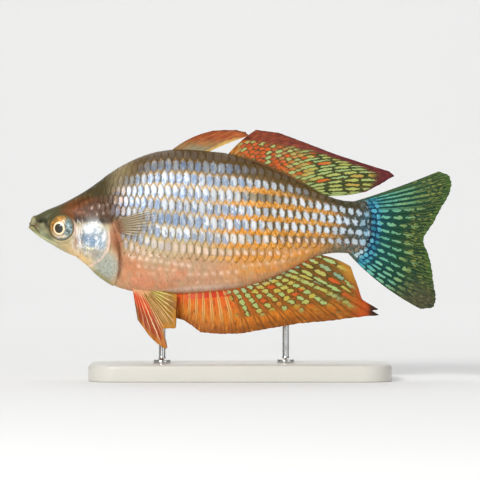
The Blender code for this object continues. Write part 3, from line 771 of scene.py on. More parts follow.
    def tip(self, x: Array, z: Array) -> tuple[Array, Array]:
        """The upper and lower tips of a scale, which make the bands between the rows of spots.

        Args:
            x: the scales' middles along the fish.
            z: their heights.

        Returns:
            Linear colours and how strongly they show.
        """
        share = FORM.height_share(x, z)
        colour = np.broadcast_to(np.array(CREAM), (*np.shape(x), 3))
        golden = ease(x - 8 * ease(share, 0.55, 0.72), 49.0, 64.0)
        colour = lay_over(colour, seen(206, 184, 132), ease(x, 30.0, 40.0) * ease(share, 0.72, 0.60) * 0.8)
        colour = lay_over(colour, seen(226, 190, 136), ease(x, 38.0, 54.0) * ease(share, 0.80, 0.66) * 0.7)
        colour = lay_over(colour, ORANGE, golden * ease(share, 0.04, 0.16))
        colour = lay_over(colour, seen(210, 140, 44), ease(x, 66.0, 82.0))
        colour = lay_over(colour, seen(168, 120, 60), ease(x, 84.0, 94.0) * 0.8)
        colour = lay_over(colour, seen(150, 112, 64), ease(share, 0.80, 0.92))
        lower = 0.16 * ease(x, 50.0, 62.0)
        strength = 0.96 * ease(share, 0.24 - lower, 0.40 - lower) * ease(share, 0.97, 0.84)
        return colour, strength * ease(x, 28.0, 38.0) * (1 - ease(x, 90.0, 97.0))


MARKINGS = Markings()


class Flow:
    """One value on its way through a finish. Python's operators add Math nodes to it."""

    def __init__(self, bench: "Bench", socket: bpy.types.NodeSocket) -> None:
        """Keeps the node tree and the socket that the value comes out of."""
        self.bench = bench
        self.socket = socket

    def __add__(self, other: Any) -> "Flow":
        """self + other."""
        return self.bench.maths("ADD", self, other)

    __radd__ = __add__

    def __mul__(self, other: Any) -> "Flow":
        """self * other."""
        return self.bench.maths("MULTIPLY", self, other)

    __rmul__ = __mul__

    def __sub__(self, other: Any) -> "Flow":
        """self - other."""
        return self.bench.maths("SUBTRACT", self, other)

    def __rsub__(self, other: Any) -> "Flow":
        """other - self."""
        return self.bench.maths("SUBTRACT", other, self)

    def __truediv__(self, other: Any) -> "Flow":
        """self / other."""
        return self.bench.maths("DIVIDE", self, other)

    def __pow__(self, other: Any) -> "Flow":
        """self to the power other."""
        return self.bench.maths("POWER", self, other)

    def __abs__(self) -> "Flow":
        """The value without its sign."""
        return self.bench.maths("ABSOLUTE", self)


class Bench:
    """The node tree of one finish, and the few moves that finishes are made of."""

    def __init__(self, name: str, **constants: Any) -> None:
        """Starts a material.

        Args:
            name: the material's name.
            constants: values for sockets of its shader, with underscores for spaces.
        """
        self.material = bpy.data.materials.new(name)
        self.material.use_nodes = True
        self.tree = self.material.node_tree
        self.shader = self.tree.nodes["Principled BSDF"]
        for socket, value in constants.items():
            self.shader.inputs[socket.replace("_", " ").title().replace("Ior", "IOR")].default_value = value

    def node(
        self, kind: str, settings: dict[str, Any] | None = None, inputs: dict[Any, Any] | None = None,
        output: Any = 0,
    ) -> Flow:
        """Adds a node.

        Args:
            kind: its type, less the word ShaderNode.
            settings: its own settings, set first.
            inputs: values or links of its sockets, by name or number.
            output: name or number of the socket that is handed back.

        Returns:
            The value that it gives.
        """
        made = self.tree.nodes.new("ShaderNode" + kind)
        for label, value in (settings or {}).items():
            setattr(made, label, value)
        for label, value in (inputs or {}).items():
            self.feed(made.inputs[label], value)
        return Flow(self, made.outputs[output])

    def feed(self, socket: bpy.types.NodeSocket, value: Any) -> None:
        """Links a value to a socket, or sets the socket to a plain number or colour."""
        if isinstance(value, Flow):
            self.tree.links.new(value.socket, socket)
        elif isinstance(value, tuple) and socket.type == "RGBA":
            socket.default_value = (*value[:3], 1.0)
        else:
            socket.default_value = value

    def maths(self, operation: str, *values: Any) -> Flow:
        """Adds a Math node on the values."""
        return self.node("Math", {"operation": operation}, dict(enumerate(values)))

    def least(self, first: Any, second: Any) -> Flow:
        """The smaller of two values."""
        return self.maths("MINIMUM", first, second)

    def most(self, first: Any, second: Any) -> Flow:
        """The larger of two values."""
        return self.maths("MAXIMUM", first, second)

    def ramp(self, value: Any, low: float, high: float, start: float = 0.0, end: float = 1.0) -> Flow:
        """Goes smoothly from start to end as the value goes from low to high, and stays there outside."""
        inputs = {0: value, 1: low, 2: high, 3: start, 4: end}
        return self.node("MapRange", {"interpolation_type": "SMOOTHSTEP"}, inputs)

    def mix(self, share: Any, first: Any, second: Any, blend: str = "MIX") -> Flow:
        """Mixes two colours by a share from 0 to 1."""
        settings = {"data_type": "RGBA", "blend_type": blend, "clamp_factor": True}
        return self.node("Mix", settings, {0: share, 6: first, 7: second}, 2)

    def mark(self, label: str, output: str = "Color") -> Flow:
        """What a mesh attribute says: its Color, Fac or Alpha."""
        return self.node("Attribute", {"attribute_name": label}, output=output)

    def flat(self, label: str) -> tuple[Flow, Flow]:
        """Both coordinates of a flat map."""
        place = self.node("UVMap", {"uv_map": label})
        return self.split(place)[:2]

    def split(self, vector: Flow) -> tuple[Flow, Flow, Flow]:
        """The three parts of a vector."""
        parts = self.node("SeparateXYZ", inputs={0: vector}).socket.node
        return tuple(Flow(self, parts.outputs[k]) for k in range(3))

    def join(self, x: Any, y: Any, z: Any = 0.0) -> Flow:
        """A vector from three parts."""
        return self.node("CombineXYZ", inputs={0: x, 1: y, 2: z})

    def place(self) -> Flow:
        """The place on the model, in metres."""
        return self.node("TexCoord", output="Object")

    def side_view(self) -> tuple[Flow, Flow]:
        """The place in the fish's side view, in millimetres: x and z."""
        x, _, z = self.split(self.place())
        return x * 1000 - SNOUT_X, z * 1000 - AXIS_HEIGHT

    def noise(
        self, place: Any, scale: float, detail: float = 2.0, rough: float = 0.5, output: Any = 0
    ) -> Flow:
        """Soft noise from 0 to 1 round a half."""
        inputs = {"Vector": place, "Scale": scale, "Detail": detail, "Roughness": rough}
        return self.node("TexNoise", inputs=inputs, output=output)

    def chance(self, *parts: Any) -> Flow:
        """A number from 0 to 1, the same wherever the parts are the same."""
        place = self.join(*parts)
        return self.node("TexWhiteNoise", {"noise_dimensions": "3D"}, {"Vector": place}, "Value")

    def bump(self, height: Flow, depth: float, strength: float = 1.0) -> Flow:
        """A normal that follows a height from 0 to 1, depth metres deep."""
        inputs = {"Strength": strength, "Distance": depth, "Height": height}
        return self.node("Bump", inputs=inputs)

    def done(self, **links: Any) -> bpy.types.Material:
        """Feeds the shader's sockets, named with underscores for spaces, and hands back the material.

        Args:
            links: what goes into each socket.

        Returns:
            The finished material.
        """
        for socket, value in links.items():
            self.feed(self.shader.inputs[socket.replace("_", " ").title()], value)
        return self.material


def belly_colours(
    bench: Bench, colour: Flow, place: tuple[Flow, Flow], belly: Flow, clouds: Flow
) -> tuple[Flow, Flow]:
    """Fine slanting strokes and soft upright clouds on the belly, alike on skin and scales.

    Args:
        bench: the finish's node tree.
        colour: the colour under them.
        place: x and z in the side view.
        belly: how strongly the strokes show.
        clouds: how strongly the clouds show.

    Returns:
        The colour, and the strokes from 0 to 1.
    """
    mix, ramp = bench.mix, bench.ramp
    x, z = place
    stroke = bench.noise(bench.join(x * 1.9 + z * 0.5, z * 0.45, 7.0), 1.0, 3.0, 0.62)
    colour = mix(ramp(stroke, 0.52, 0.70) * belly * 0.45, colour, seen(236, 196, 166))
    colour = mix(ramp(stroke, 0.46, 0.30) * belly * 0.5, colour, seen(160, 100, 66))
    blush = bench.noise(bench.join(x * 0.50 + z * 0.1, z * 0.26, 17.0), 1.0, 3.0, 0.55)
    colour = mix(ramp(blush, 0.50, 0.68) * clouds * 0.4, colour, seen(180, 160, 128))
    return mix(ramp(blush, 0.46, 0.30) * clouds * 0.25, colour, seen(226, 132, 102)), stroke


@dataclass(frozen=True)
class SkinFinish:
    """Living skin: the ground colour, clouded and speckled, with a grain of its own for each region.

    Attributes:
        cloud: how strongly it is clouded.
        speckle: how strongly it is speckled.
    """

    cloud: float = 0.14
    speckle: float = 0.35

    def make(self) -> bpy.types.Material:
        """Builds the material.

        Returns:
            The material.
        """
        bench = Bench("skin", coat_roughness=0.14, specular_ior_level=0.11)
        mix, ramp = bench.mix, bench.ramp
        place = bench.place()
        x, z = bench.side_view()
        cloud = bench.noise(place, 420.0, 4.0, 0.6)
        fine = bench.noise(place, 2600.0, 3.0, 0.6)
        dots = bench.node("TexVoronoi", {"feature": "F1"}, {"Vector": place, "Scale": 2400.0}, "Distance")
        specks = ramp(dots, 0.28, 0.12) * ramp(bench.noise(place, 700.0), 0.42, 0.66)
        ground, sheen = bench.mark("ground"), bench.mark("ground", "Alpha")
        nape, silver, belly = bench.split(bench.mark("grain"))
        membrane = bench.mark("grain", "Alpha")
        colour = mix(ramp(cloud, 0.3, 0.7), ground, mix(self.cloud, ground, seen(60, 52, 38)))
        colour = mix(ramp(cloud, 0.72, 0.4) * 0.25, colour, (1.5, 1.48, 1.42), "MULTIPLY")
        colour = mix(specks * (1 - silver) * (1 - membrane) * self.speckle, colour, seen(52, 46, 34))
        warp = (cloud - 0.5) * 1.6
        cell_place = bench.join((x + z * 0.35) * 0.62 + warp, (z - x * 0.5) * 0.46 + warp * 0.5)
        cells = bench.node(
            "TexVoronoi", {"feature": "SMOOTH_F1", "voronoi_dimensions": "2D"},
            {"Vector": cell_place, "Scale": 1.0, "Randomness": 0.45, "Smoothness": 0.25}, "Distance",
        )
        colour = mix(ramp(cells, 0.34, 0.60) * nape * 0.6, colour, seen(54, 34, 18))
        # Lighter middles of the nape's small scales: partly their colour, partly painted highlights on their
        # bumps.
        bright = ramp(cells, 0.24, 0.08) * ramp(fine, 0.46, 0.64) * nape
        colour = mix(bright * 0.5, colour, seen(180, 136, 104))
        flow = bench.noise(bench.join(x * 0.75 + warp, z * 0.42, 3.0), 1.0, 4.0, 0.62)
        flow_fine = bench.noise(bench.join(x * 2.4, z * 1.3 + warp, 9.0), 1.0, 3.0, 0.6)
        bright_flow, dark_flow = flow + (flow_fine - 0.5) * 0.6, flow + (flow_fine - 0.5) * 0.7
        colour = mix(ramp(bright_flow, 0.50, 0.62) * silver * 0.7, colour, seen(250, 252, 254))
        colour = mix(ramp(dark_flow, 0.48, 0.34) * silver * 0.65, colour, seen(122, 146, 170))
        colour = mix(ramp(flow_fine, 0.40, 0.28) * silver * 0.6, colour, seen(112, 112, 98))
        cheek = ramp(x, 12.6, 13.6) * ramp(x, 16.8, 16.0)
        cheek = cheek * ramp(z, -8.8, -7.0) * ramp(z, 2.4, 1.0)
        upright = bench.noise(bench.join(x * 2.2 + z * 0.15, z * 0.28, 13.0), 1.0, 3.0, 0.6)
        colour = mix(ramp(upright, 0.52, 0.62) * cheek * 0.7, colour, seen(248, 240, 234))
        colour = mix(ramp(upright, 0.46, 0.36) * cheek * 0.7, colour, seen(156, 104, 78))
        mottle = bench.noise(bench.join(x * 1.5, z * 1.0 + warp, 5.0), 1.0, 3.0, 0.7)
        colour = mix(ramp(mottle, 0.50, 0.64) * membrane * 0.6, colour, seen(196, 202, 192))
        colour = mix(ramp(mottle, 0.46, 0.32) * membrane * 0.6, colour, seen(112, 112, 92))
        colour, streak = belly_colours(bench, colour, (x, z), belly, belly)
        rough = ramp(fine, 0.25, 0.75, 0.32, 0.5)
        relief = fine * 0.5 + cloud * 0.5 - specks * 0.2 - ramp(cells, 0.3, 0.6) * nape * 0.9
        relief = relief + (streak * 0.5 * belly) + (mottle * 0.6 * membrane) + (flow_fine * 0.5 * silver)
        return bench.done(
            base_color=colour, roughness=rough - sheen * 0.1, metallic=ramp(sheen, 0.3, 0.95) * 0.3,
            coat_weight=ramp(sheen, 0.1, 0.6, 0.02, 0.12),
            normal=bench.bump(relief, 0.00007, 0.5),
        )


@dataclass(frozen=True)
class ScaleFinish:
    """Overlapping scales: a pearly spot in the middle, coloured tips above and below, and dark edges.

    The scales' own map runs along the body in scale pitches, 0 at the rear edge, and up in row spacings.
    """

    def make(self) -> bpy.types.Material:
        """Builds the material.

        Returns:
            The material.
        """
        bench = Bench("scales", coat_roughness=0.14, coat_weight=0.03, specular_ior_level=0.15)
        mix, ramp = bench.mix, bench.ramp
        u, v = bench.flat("Plate")
        place = bench.place()
        x, z = bench.side_view()
        wobble = bench.noise(place, 1500.0, 2.0) - 0.5
        slow = bench.noise(place, 520.0, 2.0) - 0.5
        rise = abs(v)
        across = u + 0.5 + wobble * 0.10
        inside = bench.least(0.5, 0.5 - (rise - 0.2) * 0.86) - abs(across)
        ground, chance = bench.mark("ground"), bench.mark("ground", "Alpha")
        edge, high, wide = bench.split(bench.mark("shape"))
        blue = bench.mark("shape", "Alpha")
        blunt = 3.3
        lean = (bench.chance(chance * 91, 2.0) - 0.5) * 0.24
        reach_across = (abs(across + v * lean) / wide) ** blunt
        reach_up = (abs(v + wobble * 0.30 + across * lean) / high) ** blunt
        nicks = ramp(bench.noise(place, 900.0, 1.0), 0.62, 0.74) * 0.2
        oval = (reach_across + reach_up) ** (1 / blunt) + nicks
        ragged = (bench.noise(place, 1200.0, 2.0, 0.5) - 0.5) * ramp(x, 84.0, 95.0, 1.3, 2.6)
        spot = ramp(oval + ragged, 1.34, 0.66) * bench.mark("spot_mark", "Alpha")
        streaks = bench.noise(bench.join(u * 7, v * 1.8, chance * 40), 1.0, 3.0)
        weave = bench.noise(bench.join(u * 6, v * 5, chance * 23), 1.0, 2.0)
        tip_colour = mix(ramp(weave, 0.46, 0.66) * 0.5, bench.mark("tip_mark"), seen(252, 224, 160))
        tip_colour = mix(ramp(weave, 0.48, 0.30) * 0.5, tip_colour, seen(166, 98, 26))
        tips = ramp(rise + wobble * 0.16, 0.20, 0.36) * bench.mark("tip_mark", "Alpha")
        belly = bench.mark("flat_mark", "Fac")
        fresh = mix(ramp(streaks, 0.52, 0.38) * (1 - belly) * 0.3, ground, seen(74, 56, 34))
        fresh = mix(ramp(streaks, 0.52, 0.68) * (1 - belly) * 0.3, fresh, (1.9, 1.8, 1.6), "MULTIPLY")
        colour = mix(tips, fresh, tip_colour)
        dark_tip = mix(ramp(x, 48.0, 66.0), seen(140, 116, 84), seen(184, 118, 38))
        dark = mix(tips, seen(84, 74, 56), dark_tip)
        line = ramp(inside / ramp(rise, 0.2, 0.5, 0.17, 0.07) + wobble * 0.6, 1.0, 0.1)
        colour = mix(line * edge * (1 - tips * ramp(x, 40.0, 62.0, 0.4, 0.75)), colour, dark)
        patches = bench.noise(bench.join(u * 2.6, v * 1.9 + chance * 30, chance * 17), 1.0, 2.0)
        blot = ramp(patches - v * 0.34 - across * 0.30 + chance * 0.30 + slow * 0.4, 0.56, 0.72) * blue
        bright = mix(blot * 0.8, bench.mark("spot_mark"), seen(104, 138, 182))
        bright = mix(ramp(streaks, 0.5, 0.72) * (belly * -0.42 + 0.5), bright, seen(255, 255, 252))
        bright = mix(ramp(oval, 0.70, 1.10) * 0.30, bright, seen(160, 172, 182))
        colour = mix(spot, colour, bright)
        grain = bench.noise(place, 3200.0, 3.0, 0.65)
        colour = mix(ramp(grain, 0.35, 0.8) * 0.14, colour, seen(92, 74, 46))
        colour, _ = belly_colours(bench, colour, (x, z), belly, belly * (1 - spot))
        rings = bench.maths("SINE", (across - u * 0.6) * 60)
        relief = rings * (1 - belly) * 0.08 + grain * 0.5 + ramp(inside, 0.0, 0.12) * edge * 0.6
        rough = ramp(grain, 0.2, 0.8, 0.30, 0.48)
        return bench.done(
            base_color=colour, roughness=rough, metallic=spot * 0.2, normal=bench.bump(relief, 0.00005, 0.5)
        )


def coat_depth(x: Array, turn: Array, z: Array) -> Array:
    """Millimetres behind the front edge of the coat of scales.

    Below, the edge runs behind the gill opening. On the nape it runs down from x = 19.5, and between the
    two heights it goes smoothly from one to the other.

    Args:
        x: places along the fish.
        turn: their place round the section, 0 on the back and 1 below.
        z: their heights.

    Returns:
        Distances, less than 0 where there are no scales.
    """
    behind = x - FORM.gill(np.clip(turn, 0, 1)) - 1.0
    nape = x - 19.5 + (z - 8.2) * 0.1
    high = ease(z, 1.5, 7.5)
    return behind * (1 - high) + nape * high


def bare_belly(x: Array, z: Array) -> Array:
    """Where the belly shows smooth skin: more than 0 below the last row of spots, in shares of height."""
    return 0.235 - 0.045 * ease(x, 36.0, 58.0) - 0.03 * ease(x, 66.0, 80.0) - FORM.height_share(x, z)


@dataclass(frozen=True)
class SkinPiece:
    """One unbroken skin from the snout to the root of the tail fin, with the head's forms worked into it.

    Attributes:
        snout: x of its first section.
        head_end: x where the trunk's sections begin.
        columns: points round a section.
        head_rows: sections on the head.
        trunk_rows: sections on the trunk.
        stalk_rows: sections on the tail stalk.
        under_scales: how deep it lies under the scales.
        eye: the eye's middle.
        mouth: the line of the mouth.
        jaw_bone: the rear edge of the upper jaw.
        cheek_edge: the groove between cheek and gill cover.
        nostrils: middles of the two nostrils.
        folds: folds of skin under the head.
    """

    snout: float = 0.1
    head_end: float = 28.5
    columns: int = 232
    head_rows: int = 240
    trunk_rows: int = 128
    stalk_rows: int = 20
    under_scales: float = 0.14
    eye: tuple[float, float] = EYE
    mouth: Line = ((-1.2, 0.25), (0.9, 0.2), (1.7, -0.1), (3.1, -1.95))
    jaw_bone: Line = ((1.7, 2.7), (2.7, 1.0), (3.5, -0.8), (4.1, -2.6))
    cheek_edge: Line = (
        (14.4, 3.0), (15.6, 1.4), (16.2, -2.0), (16.4, -6.0), (15.4, -9.4), (12.0, -9.2), (8.6, -7.0),
    )
    nostrils: Line = ((3.55, 1.25), (5.15, 1.25))
    folds: tuple[Line, ...] = (
        ((10.5, -7.2), (15.0, -10.2), (19.0, -13.2), (23.0, -15.6)),
        ((13.0, -7.8), (17.0, -10.9), (20.6, -13.2), (24.6, -14.6)),
    )

    def relief(self, x: Array, z: Array, turn: Array) -> Array:
        """Height of the head's forms over the plain body, as a sum of bells and steps.

        Lips swell beside the line of the mouth, which is a groove. The rim of the eye is a ring round a
        socket. Nostrils are pits with rims, the gill cover is a raised oval, its opening a step with a
        groove, and folds run under the head.

        Args:
            x: places along the fish.
            z: their heights.
            turn: their place round the section.

        Returns:
            Heights in millimetres, outwards.
        """
        mouth, passed, _ = line_distance(x, z, self.mouth)
        fade = ease(passed, 1.0, 0.86)
        height = 0.26 * bell(mouth - 0.48, 0.36) * fade - 0.34 * bell(mouth, 0.13) * fade
        bone, passed, side = line_distance(x, z, self.jaw_bone)
        height += (0.14 * bell(bone * side - 0.45, 0.45) - 0.16 * bell(bone, 0.16)) * ease(passed, 0.0, 0.15)
        out = np.hypot(x - self.eye[0], z - self.eye[1])
        height += 0.34 * bell(out - 4.15, 0.42) - 0.10 * bell(out - 5.1, 0.35) - 1.2 * ease(out, 3.95, 3.55)
        for pit_x, pit_z in self.nostrils:
            away = np.hypot(x - pit_x, z - pit_z)
            height += 0.14 * bell(away - 0.72, 0.22) - 0.55 * bell(away, 0.36)
        edge, passed, side = line_distance(x, z, self.cheek_edge)
        height += (0.12 * bell(edge * side + 0.5, 0.6) - 0.22 * bell(edge, 0.22)) * ease(passed, 0.0, 0.1)
        cover_x, cover_z = (x - 19.7) / 4.1, (z + 4.3) / 6.9
        oval = np.sqrt(cover_x**2 + cover_z**2)
        rim = ease(cover_x - 0.6 * cover_z, -0.5, 0.5)
        height += 0.26 * ease(oval, 1.5 - 0.44 * rim, 0.5 + 0.46 * rim)
        height -= 0.12 * bell(oval - 1.07, 0.03) * rim
        past = x - FORM.gill(FORM.fold(turn))
        low = ease(z, 3.0, -1.0)
        height += low * (0.30 * ease(past, 0.15, -0.2) * ease(x, 14.0, 24.0) - 0.16 * bell(past - 0.2, 0.22))
        for fold in self.folds:
            away, passed, _ = line_distance(x, z, fold)
            height -= 0.14 * bell(away, 0.2) * ease(passed, 0.0, 0.15) * ease(passed, 1.0, 0.9)
        return height

    def shell(self) -> Shell:
        """The whole skin, as rings of points moved out along the surface's normals by the relief.

        Returns:
            The closed skin with its colours.
        """
        turn = np.linspace(0, 2, self.columns, endpoint=False)
        head = self.snout + (self.head_end - self.snout) * np.linspace(0, 1, self.head_rows) ** 1.2
        trunk = np.linspace(self.head_end, STALK_X, self.trunk_rows + 1)[1:]
        share = np.linspace(0, 1, self.stalk_rows + 1)[1:, None]
        stalk = STALK_X + (FORM.root(FORM.fold(turn)) + 0.2 - STALK_X) * share
        rows = np.concatenate([head, trunk])[:, None]
        x = np.vstack([np.broadcast_to(rows, (len(rows), self.columns)), stalk])
        around = np.broadcast_to(turn, x.shape)
        base = FORM.point(x, around)
        scaled = ease(coat_depth(x, FORM.fold(around), base[..., 2]), -0.4, 1.6)
        bare = bare_belly(x, base[..., 2])
        over_tips = 0.03 * scaled * ease(bare, -0.08, -0.03)
        scaled = scaled * ease(bare, -0.01, -0.08)
        lift = self.relief(x, base[..., 2], around) - self.under_scales * scaled + over_tips
        room = np.minimum(FORM.breadth(x), (FORM.back(x) - FORM.belly(x)) / 2)
        lift = np.maximum(lift, -0.45 * room)
        rings = base + FORM.normal(x, around) * lift[..., None]
        first, last = rings[0].mean(0) - (0.12, 0, 0), rings[-1].mean(0)
        points, quads, tris = tube(rings, first, last)
        along, up = points[:, 0], points[:, 2]
        # Painted shade: a dark line along the mouth's groove, where the lips meet.
        dark = bell(line_distance(along, up, self.mouth)[0], 0.2) * 0.8
        ground = lay_over(MARKINGS.ground(along, up), seen(58, 44, 30), dark)
        ground = np.column_stack([ground, MARKINGS.sheen(along, up)])
        return Shell(points, quads, tris, {"ground": ground, "grain": MARKINGS.grain(along, up)})


@dataclass(frozen=True)
class ScaleCoat:
    """The coat of scales on one side, rows of thin overlapping plates, each alike but for its place.

    Attributes:
        side: the side that it covers.
        span: x of its first and last scales.
        rows: rows to each side of the guide.
        pitch: distance between scales of a row, along the fish.
        spacing: distance between rows over the skin, along the fish.
        guide: the row that the others are counted from, in the side view.
        half_height: half a plate's height, in row spacings.
        length: a plate's length, in pitches.
        bow: how far a plate's rear edge draws in at its ends, in pitches.
        bow_power: how late it does so.
        rise: height of the rear edge over the body's form.
        slope: how far a plate sinks in one pitch towards its front.
        thick: a plate's thickness.
        across: points across a plate.
        along: points along it.
    """

    side: Side
    span: tuple[float, float] = (16.0, 104.0)
    rows: int = 7
    pitch: Curve = Curve((
        (16.0, 1.25), (26.0, 1.5), (31.0, 1.7), (37.0, 2.06), (45.0, 2.2), (56.0, 2.34), (70.0, 2.42),
        (103.0, 2.4),
    ))
    spacing: Curve = Curve((
        (16.0, 2.5), (24.0, 2.8), (31.0, 3.35), (39.0, 4.0), (50.0, 4.2), (70.0, 4.15), (85.0, 3.6),
        (103.0, 2.75),
    ))
    guide: Curve = Curve((
        (16.0, 7.0), (20.0, 6.0), (30.3, 3.9), (36.3, 2.85), (42.3, 1.95), (48.3, 1.5), (55.0, 0.7),
        (66.0, 0.3), (80.0, -0.45), (103.0, -2.3),
    ))
    half_height: float = 0.76
    length: float = 1.8
    bow: float = 0.62
    bow_power: float = 1.7
    rise: float = 0.08
    slope: float = 0.17
    thick: float = 0.10
    across: int = 8
    along: int = 6

    def emerging(self, x: Array, turn: Array, z: Array) -> Array:
        """How far the scales have come out of the skin: 0 where the coat begins on the head, then 1."""
        return ease(coat_depth(x, turn, z), -0.5, 6.0)

    def calm(self, x: Array, z: Array) -> Array:
        """How flat the scales lie: 1 on the belly and along the ridge of the back, 0 on the flanks.

        Args:
            x: places along the fish.
            z: their heights.

        Returns:
            Shares from 0 to 1.
        """
        share = FORM.height_share(x, z)
        rear = ease(x, 42.0, 66.0)
        low = ease(share, 0.40 - 0.22 * rear, 0.26 - 0.20 * rear)
        last = 0.8 * ease(bare_belly(x, z), -0.12, -0.02)
        return np.clip(np.maximum(0.95 * low, last) + 0.7 * ease(share, 0.82, 0.93), 0, 1)

    def middles(self, table: ArcTable) -> tuple[Array, Array]:
        """Places of the scales.

        Column n is where the whole of 1 / pitch from the first x is n, and every second row is set half a
        column on. Rows are spacing apart over the skin, from the guide.

        Args:
            table: distances over the skin.

        Returns:
            x of each scale and its distance from the back.
        """
        xs = np.linspace(*self.span, 2000)
        count = np.concatenate([[0], np.cumsum(np.diff(xs) / self.pitch(xs[1:]))])
        rows = np.arange(-self.rows, self.rows + 1)
        row, column = np.meshgrid(rows, np.arange(int(count[-1])), indexing="ij")
        x = np.interp(column + 0.5 * (row % 2), count, xs)
        arc = table.arc(x, FORM.turn_at(x, self.guide(x))) + row * self.spacing(x)
        whole = table.length(x)
        turn = table.turn(x, np.clip(arc, 0, whole))
        height = FORM.point(x, turn)[..., 2]
        low = 0.0 if self.side is Side.LEFT else 0.45
        keep = (arc > low * self.spacing(x)) & (arc < whole - 0.2 * self.spacing(x))
        keep &= (coat_depth(x, np.clip(turn, 0, 1), height) > 0.3) & (bare_belly(x, height) < 0)
        keep &= x + 0.5 * self.pitch(x) < FORM.root(np.clip(turn, 0, 1)) + 1.6
        return x[keep], arc[keep]

    def shell(self, table: ArcTable) -> Shell:
        """All plates of the side as one set of arrays.

        Over a plate, a runs from its front 0 to its rear edge 1 and b from -1 on top to 1 below. The place
        is x = rear(b) - (1 - a) * (length * pitch - draw) and arc = middle + b * half height. The plate
        stands off the body's form by rise - slope * pitches to the rear edge, with a little crown across it.

        Args:
            table: distances over the skin.

        Returns:
            The closed plates.
        """
        middle_x, middle_arc = self.middles(table)
        draw = np.random.default_rng(31 if self.side is Side.LEFT else 32)
        luck = draw.random((len(middle_x), 3))
        a = np.linspace(0, 1, self.along)[None, :, None]
        b = np.linspace(-1, 1, self.across)[None, None, :]
        pitch, spacing = self.pitch(middle_x)[:, None, None], self.spacing(middle_x)[:, None, None]
        rear = 0.5 - self.bow * np.abs(b) ** self.bow_power
        back = (1 - a) * self.length * (1 - 0.25 * b**2)
        x = middle_x[:, None, None] + pitch * (rear - back)
        arc = middle_arc[:, None, None] + b * self.half_height * spacing
        on_body = np.clip(x, 2.0, 103.0)
        whole = table.length(on_body)
        turn = table.turn(on_body, np.clip(arc, -0.9 * whole, 1.9 * whole))
        if self.side is Side.RIGHT:
            turn = 2 - turn
        middle_turn = table.turn(middle_x, middle_arc)
        place = FORM.point(middle_x, middle_turn)[..., 2]
        out_of_skin = self.emerging(middle_x, middle_turn, place)
        relief = (0.12 + 0.88 * out_of_skin) * (1 - 0.92 * self.calm(middle_x, place))
        relief = relief[:, None, None]
        tilt = 1 + 0.25 * (luck[:, 0, None, None] - 0.5)
        height = 0.01 + relief * (self.rise - 0.01) - self.slope * tilt * relief * back
        height = height - 0.05 * (1 - relief) * (1 - a) ** 2 + 0.05 * relief * (1 - b**2) * (0.4 + 0.6 * a)
        base, out = FORM.point(x, turn), FORM.normal(x, turn)
        top = base + out * height[..., None]
        count, size = len(middle_x), self.along * self.across
        rim = rim_of_grid(self.along, self.across)
        flat_top = top.reshape(count, size, 3)
        flat_out = out.reshape(count, size, 3)
        low = flat_top[:, rim] - flat_out[:, rim] * self.thick
        ends = len(rim)
        points = np.concatenate([flat_top, low], axis=1).reshape(-1, 3)
        k = np.arange(ends)
        after = (k + 1) % ends
        wall = np.stack([rim[after], rim[k], size + k, size + after], 1)
        near = np.arange(1, ends // 2)
        floor = np.stack(
            [size + near - 1, size + near, size + ends - near - 1, size + (ends - near) % ends], 1
        )
        faces = np.vstack([grid_quads(self.along, self.across), wall, floor])
        stride = size + ends
        quads = (faces[None] + stride * np.arange(count)[:, None, None]).reshape(-1, 4)
        flat_u = np.broadcast_to(rear - back - 0.5, top.shape[:3]).reshape(count, size)
        flat_v = np.broadcast_to(-b * self.half_height, top.shape[:3]).reshape(count, size)
        plate = np.stack([flat_u, flat_v], -1)
        plate = np.concatenate([plate, plate[:, rim]], axis=1).reshape(-1, 2)
        sides = np.arange(len(faces)) >= (self.along - 1) * (self.across - 1)
        baked = self.bake_map(middle_x, middle_arc, plate, stride, table)
        return Shell(
            points, quads, marks=self.paint(points, middle_x, middle_arc, luck, stride, table),
            maps={"Plate": plate, "OFBake": baked}, flat=np.tile(sides, count),
        )

    def paint(
        self, points: Array, x: Array, arc: Array, luck: Array, stride: int, table: ArcTable
    ) -> dict[str, Array]:
        """The markings that the scales carry.

        Args:
            points: all points of the plates.
            x: the scales' middles.
            arc: their distances from the back.
            luck: three numbers from 0 to 1 for each scale.
            stride: points in a plate.
            table: distances over the skin.

        Returns:
            Marks on the points. Spot and tip are the same all over a plate.
        """
        turn = table.turn(x, arc)
        z = FORM.point(x, turn)[..., 2]
        along, up = points[:, 0], points[:, 2]
        ground = MARKINGS.ground(along, up)
        share = FORM.height_share(along, up)
        band = ease(share, 0.36, 0.52) * ease(share, 0.94, 0.82) * ease(along, 27.0, 35.0)
        far = ease(along, 56.0, 78.0)
        ground = lay_over(ground, SCALE_EDGE, (0.55 + 0.35 * far) * band * ease(along, 95.0, 88.0))
        top = ease(share, 0.80, 0.87) * (0.4 + 0.5 * ease(along, 46.0, 58.0))
        spot = MARKINGS.spot(x, z)
        tip, tip_strength = MARKINGS.tip(x, z)
        light = 0.82 + 0.30 * luck[:, 1:2]
        spot_colour = np.clip(spot["colour"] * light, 0, 1)
        spot_strength = spot["strength"] * (0.8 + 0.2 * luck[:, 2])
        tip = np.clip(tip * (0.85 + 0.3 * luck[:, 2:3]), 0, 1)
        out_of_skin = self.emerging(x, turn, z)
        calm = self.calm(x, z)
        edge = np.maximum(0.62 - 0.74 * calm, 0) * (0.3 + 0.7 * out_of_skin)
        size = 0.92 + 0.16 * luck[:, 2]

        def spread(values: Array) -> Array:
            """A value of each scale, on all its points."""
            return np.repeat(values, stride, axis=0)

